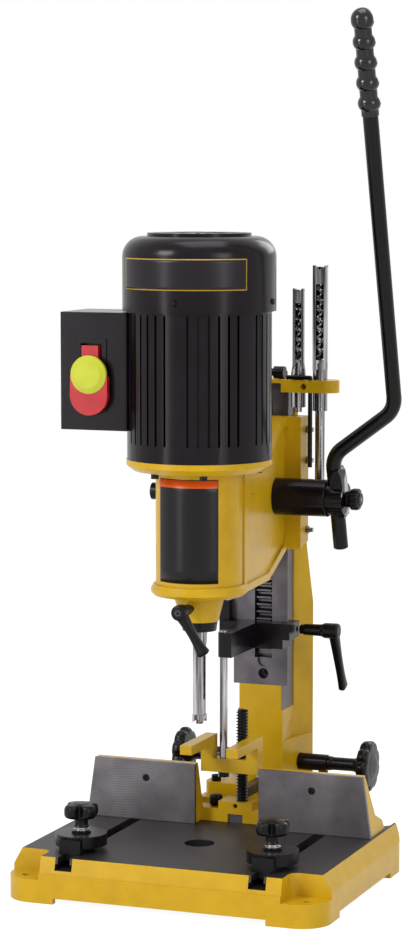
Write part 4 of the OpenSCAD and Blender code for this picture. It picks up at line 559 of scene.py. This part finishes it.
# knobs of the two work stops: four lobes on a stem over a zinc-plated nut and washer
stop_y, stop_z = -0.111, 0.0813
zinc = ground_metal("zinc_plated_steel", "#B4B0AC", "#8E8A88", 0.28, (300.0, 300.0, 300.0))
lobes = rounded_profile([
    (0, 0), (0.0195, 0.0), (0.0229, 0.0035), (0.0229, 0.0125), (0.0200, 0.0165), (0.0100, 0.0178),
    (0.0085, 0.0186), (0, 0.0186)], 0.003)
for side, name in ((-1, "left"), (1, "right")):
    x = side * slot_x
    fitted(joined("stop_knob_" + name + "_top", [
        lobed_knob("top", (x, stop_y, stop_z + 0.0160), (0, 0, 1), lobes, 4, 0.0105, black_plastic, turn=0.25,
                   up=(0, 1, 0)),
        turned("stem", (x, stop_y, stop_z + 0.0042), (0, 0, 1), [
            (0, 0), (0.0094, 0), (0.0098, 0.001), (0.0086, 0.003), (0.0086, 0.010), (0.0120, 0.0143),
            (0, 0.0148)], 0.0012, black_plastic, 40, (0, 1, 0))]), "knob_" + name, "stop_knob_" + name)
    washer = turned("stop_washer_" + name, (x, stop_y, stop_z), (0, 0, 1), [
        (0, 0), (0.0098, 0), (0.0098, 0.0018), (0.0080, 0.0022), (0.0080, 0.0041), (0, 0.0041)],
        0.0004, zinc, 48, (0, 1, 0))
    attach(washer, "knob_" + name)

# fluted knob on the lever's boss
low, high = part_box("star_knob")
fitted(joined("lever_star_knob", [
    lobed_knob("head", (low[0], (low[1] + high[1]) / 2, (low[2] + high[2]) / 2), (1, 0, 0), rounded_profile(
        [(0, 0), (0.0098, 0), (0.0105, 0.0010), (0.0105, 0.0062), (0.0137, 0.0078), (0.0140, 0.0090),
         (0.0140, 0.0160), (0.0126, 0.0178), (0.0095, 0.0186), (0.0085, 0.0201), (0, 0.0202)],
        0.0008), 8, 0.0019, black_plastic)]), "star_knob", "star_knob")


def clamp_lever(name, hub, axis, arm, hub_long, hub_wide, arm_long, body, node, material):
    """Hub: a turned barrel along the axis. Arm: a bar from the hub's outer end whose width runs
    in, then out again to a foot, by w = a - b sin(pi s) - c s + d s^8 along its length."""
    hub, axis, arm = (np.array(v, dtype=float) for v in (hub, axis, arm))
    axis, arm = axis / np.linalg.norm(axis), arm / np.linalg.norm(arm)
    barrel = turned("barrel", hub, axis, [
        (0, 0), (0.0062, 0), (0.0062, hub_long * 0.10), (hub_wide * 0.40, hub_long * 0.11),
        (hub_wide * 0.44, hub_long * 0.60), (hub_wide * 0.56, hub_long * 0.68),
        (hub_wide * 0.57, hub_long + hub_wide * 0.12), (hub_wide * 0.46, hub_long + hub_wide * 0.20),
        (0, hub_long + hub_wide * 0.20)], 0.002, material, 48, arm)
    s = np.linspace(0, 1, 26)
    lift = axis * hub_wide * 0.10
    start = hub + axis * (hub_long - hub_wide * 0.22)
    path = start + arm * (s * arm_long)[:, None] + lift * (s ** 2)[:, None]
    wide = hub_wide * (1.02 - 0.30 * np.sin(np.pi * np.minimum(s * 1.05, 1)) - 0.12 * s + 0.16 * s ** 8)
    deep = hub_wide * (0.72 - 0.24 * s + 0.12 * s ** 8)
    close = np.clip((1 - s) / 0.03, 0.55, 1.0)
    bar = swept_bar("bar", path, wide * close, deep * close, axis, material, 2.8)
    fitted(joined(name, [barrel, bar]), body, node)


clamp_lever("chisel_clamp_lever", (0, -0.0665, 0.358), (0, -1, 0), (0.545, 0, -0.839), 0.034, 0.017, 0.060,
            "chisel_lock", "chisel_lock_lever", black_plastic)
clamp_lever("slide_clamp_lever", (0.0525, 0.199, 0.2965), (1, 0, 0), (0, 0.407, -0.914), 0.050, 0.018, 0.090,
            "hold_down_lock", "hold_down_lever", black_plastic)
red_plastic, _, _ = enamel("moulded_red_plastic", "#B5121D", "#A60F19", 0.0010, 0.16, 0.00001, 0.6)
key_plastic, _, _ = enamel("moulded_yellow_green_plastic", "#B9BE1E", "#AEB31A", 0.0010, 0.14, 0.00001, 0.6)
dressed_copy("switch_paddle", "stop_paddle", red_plastic, 0.0012)
dressed_copy("switch_key", "locking_key", key_plastic, 0.0012)

# ---- Threaded post ---------------------------------------------------------
# Black oxide steel, cut with a coarse trapezoid thread of 4 mm pitch.
pitch, low, high = 0.004, 0.0692, 0.204
post_x, post_y = 0.0075, 0.102
crest_r, thread_deep, chamfer_tall, chamfer_deep = 0.0079, 0.0019, 0.0015, 0.0016
rows = np.linspace(low, high, int((high - low) / pitch * 10) + 1)
angle = np.linspace(0, 2 * np.pi, 40, endpoint=False)
phase = (rows[:, None] / pitch - angle[None, :] / (2 * np.pi)) % 1.0
# depth of the thread: flat crest, slanted flanks, flat root
tooth = np.clip((np.abs(phase - 0.5) - 0.12) / 0.14, 0, 1)
chamfer = np.clip((high - rows) / chamfer_tall, 0.0, 1.0)
radius = crest_r - thread_deep * tooth - chamfer_deep * (1 - chamfer)[:, None]
rings = np.stack([post_x + radius * np.cos(angle), post_y + radius * np.sin(angle),
                  np.broadcast_to(rows[:, None], radius.shape)], -1)
fitted(closed_grid("screw_post", rings, black_oxide), "fence", "threaded_post")

# ---- Grip ------------------------------------------------------------------
# Black vinyl, dip-moulded in rings over the lever's end, glossy.
grip_vinyl, _, _ = enamel("glossy_black_vinyl", "#0F0D11", "#0A090B", 0.0012, 0.16, 0.00002, 0.42)
give(grip_vinyl, "lever_grip")

# ---- Bright steel ----------------------------------------------------------
# Rod, chisels, augers and shafts: hardened steel, ground and polished.
bright_steel, tree = new_material("polished_tool_steel")
place = add(tree, "ShaderNodeTexCoord").outputs["Object"]
# the colour runs in long streaks from near black to near white along the length: painted reflection of bright
# and dark surroundings in the polished steel; only the fine scratches in the bump below are the steel's own
along = add(tree, "ShaderNodeMapping", {"Vector": place, "Scale": (330.0, 330.0, 7.0)})
painted_reflection_streaks = add(tree, "ShaderNodeTexNoise", {"Vector": along.outputs["Vector"], "Scale": 1.0, "Detail": 3.0,
                                        "Roughness": 0.6})
hue = add(tree, "ShaderNodeValToRGB", {"Fac": painted_reflection_streaks.outputs["Fac"]})
hue.color_ramp.elements[0].color, hue.color_ramp.elements[0].position = linear("#3B373A"), 0.38
hue.color_ramp.elements[1].color, hue.color_ramp.elements[1].position = linear("#C2BEC0"), 0.64
scratch = add(tree, "ShaderNodeMapping", {"Vector": place, "Scale": (1600.0, 1600.0, 90.0)})
fine = add(tree, "ShaderNodeTexNoise", {"Vector": scratch.outputs["Vector"], "Scale": 1.0, "Detail": 1.0})
bump = add(tree, "ShaderNodeBump", {"Height": fine.outputs["Fac"], "Strength": 0.3, "Distance": 0.00002})
shader = add(tree, "ShaderNodeBsdfPrincipled", {"Base Color": hue.outputs["Color"], "Metallic": 1.0,
                                                "Roughness": 0.22, "Normal": bump.outputs["Normal"]})
add(tree, "ShaderNodeOutputMaterial", {"Surface": shader.outputs["BSDF"]})
give(bright_steel, "hold_down_rod", "mortise_chisel", "auger_bit", "spare_chisels", "spare_augers",
     "fence_shaft", "feed_shaft", "motor_shaft", "motor_bearings", "chuck_jaws", "gib_screws")
copper, _, _ = enamel("lacquered_copper", "#B06A34", "#8F5426", 0.0012, 0.35, 0.00005)
give(copper, "stator")
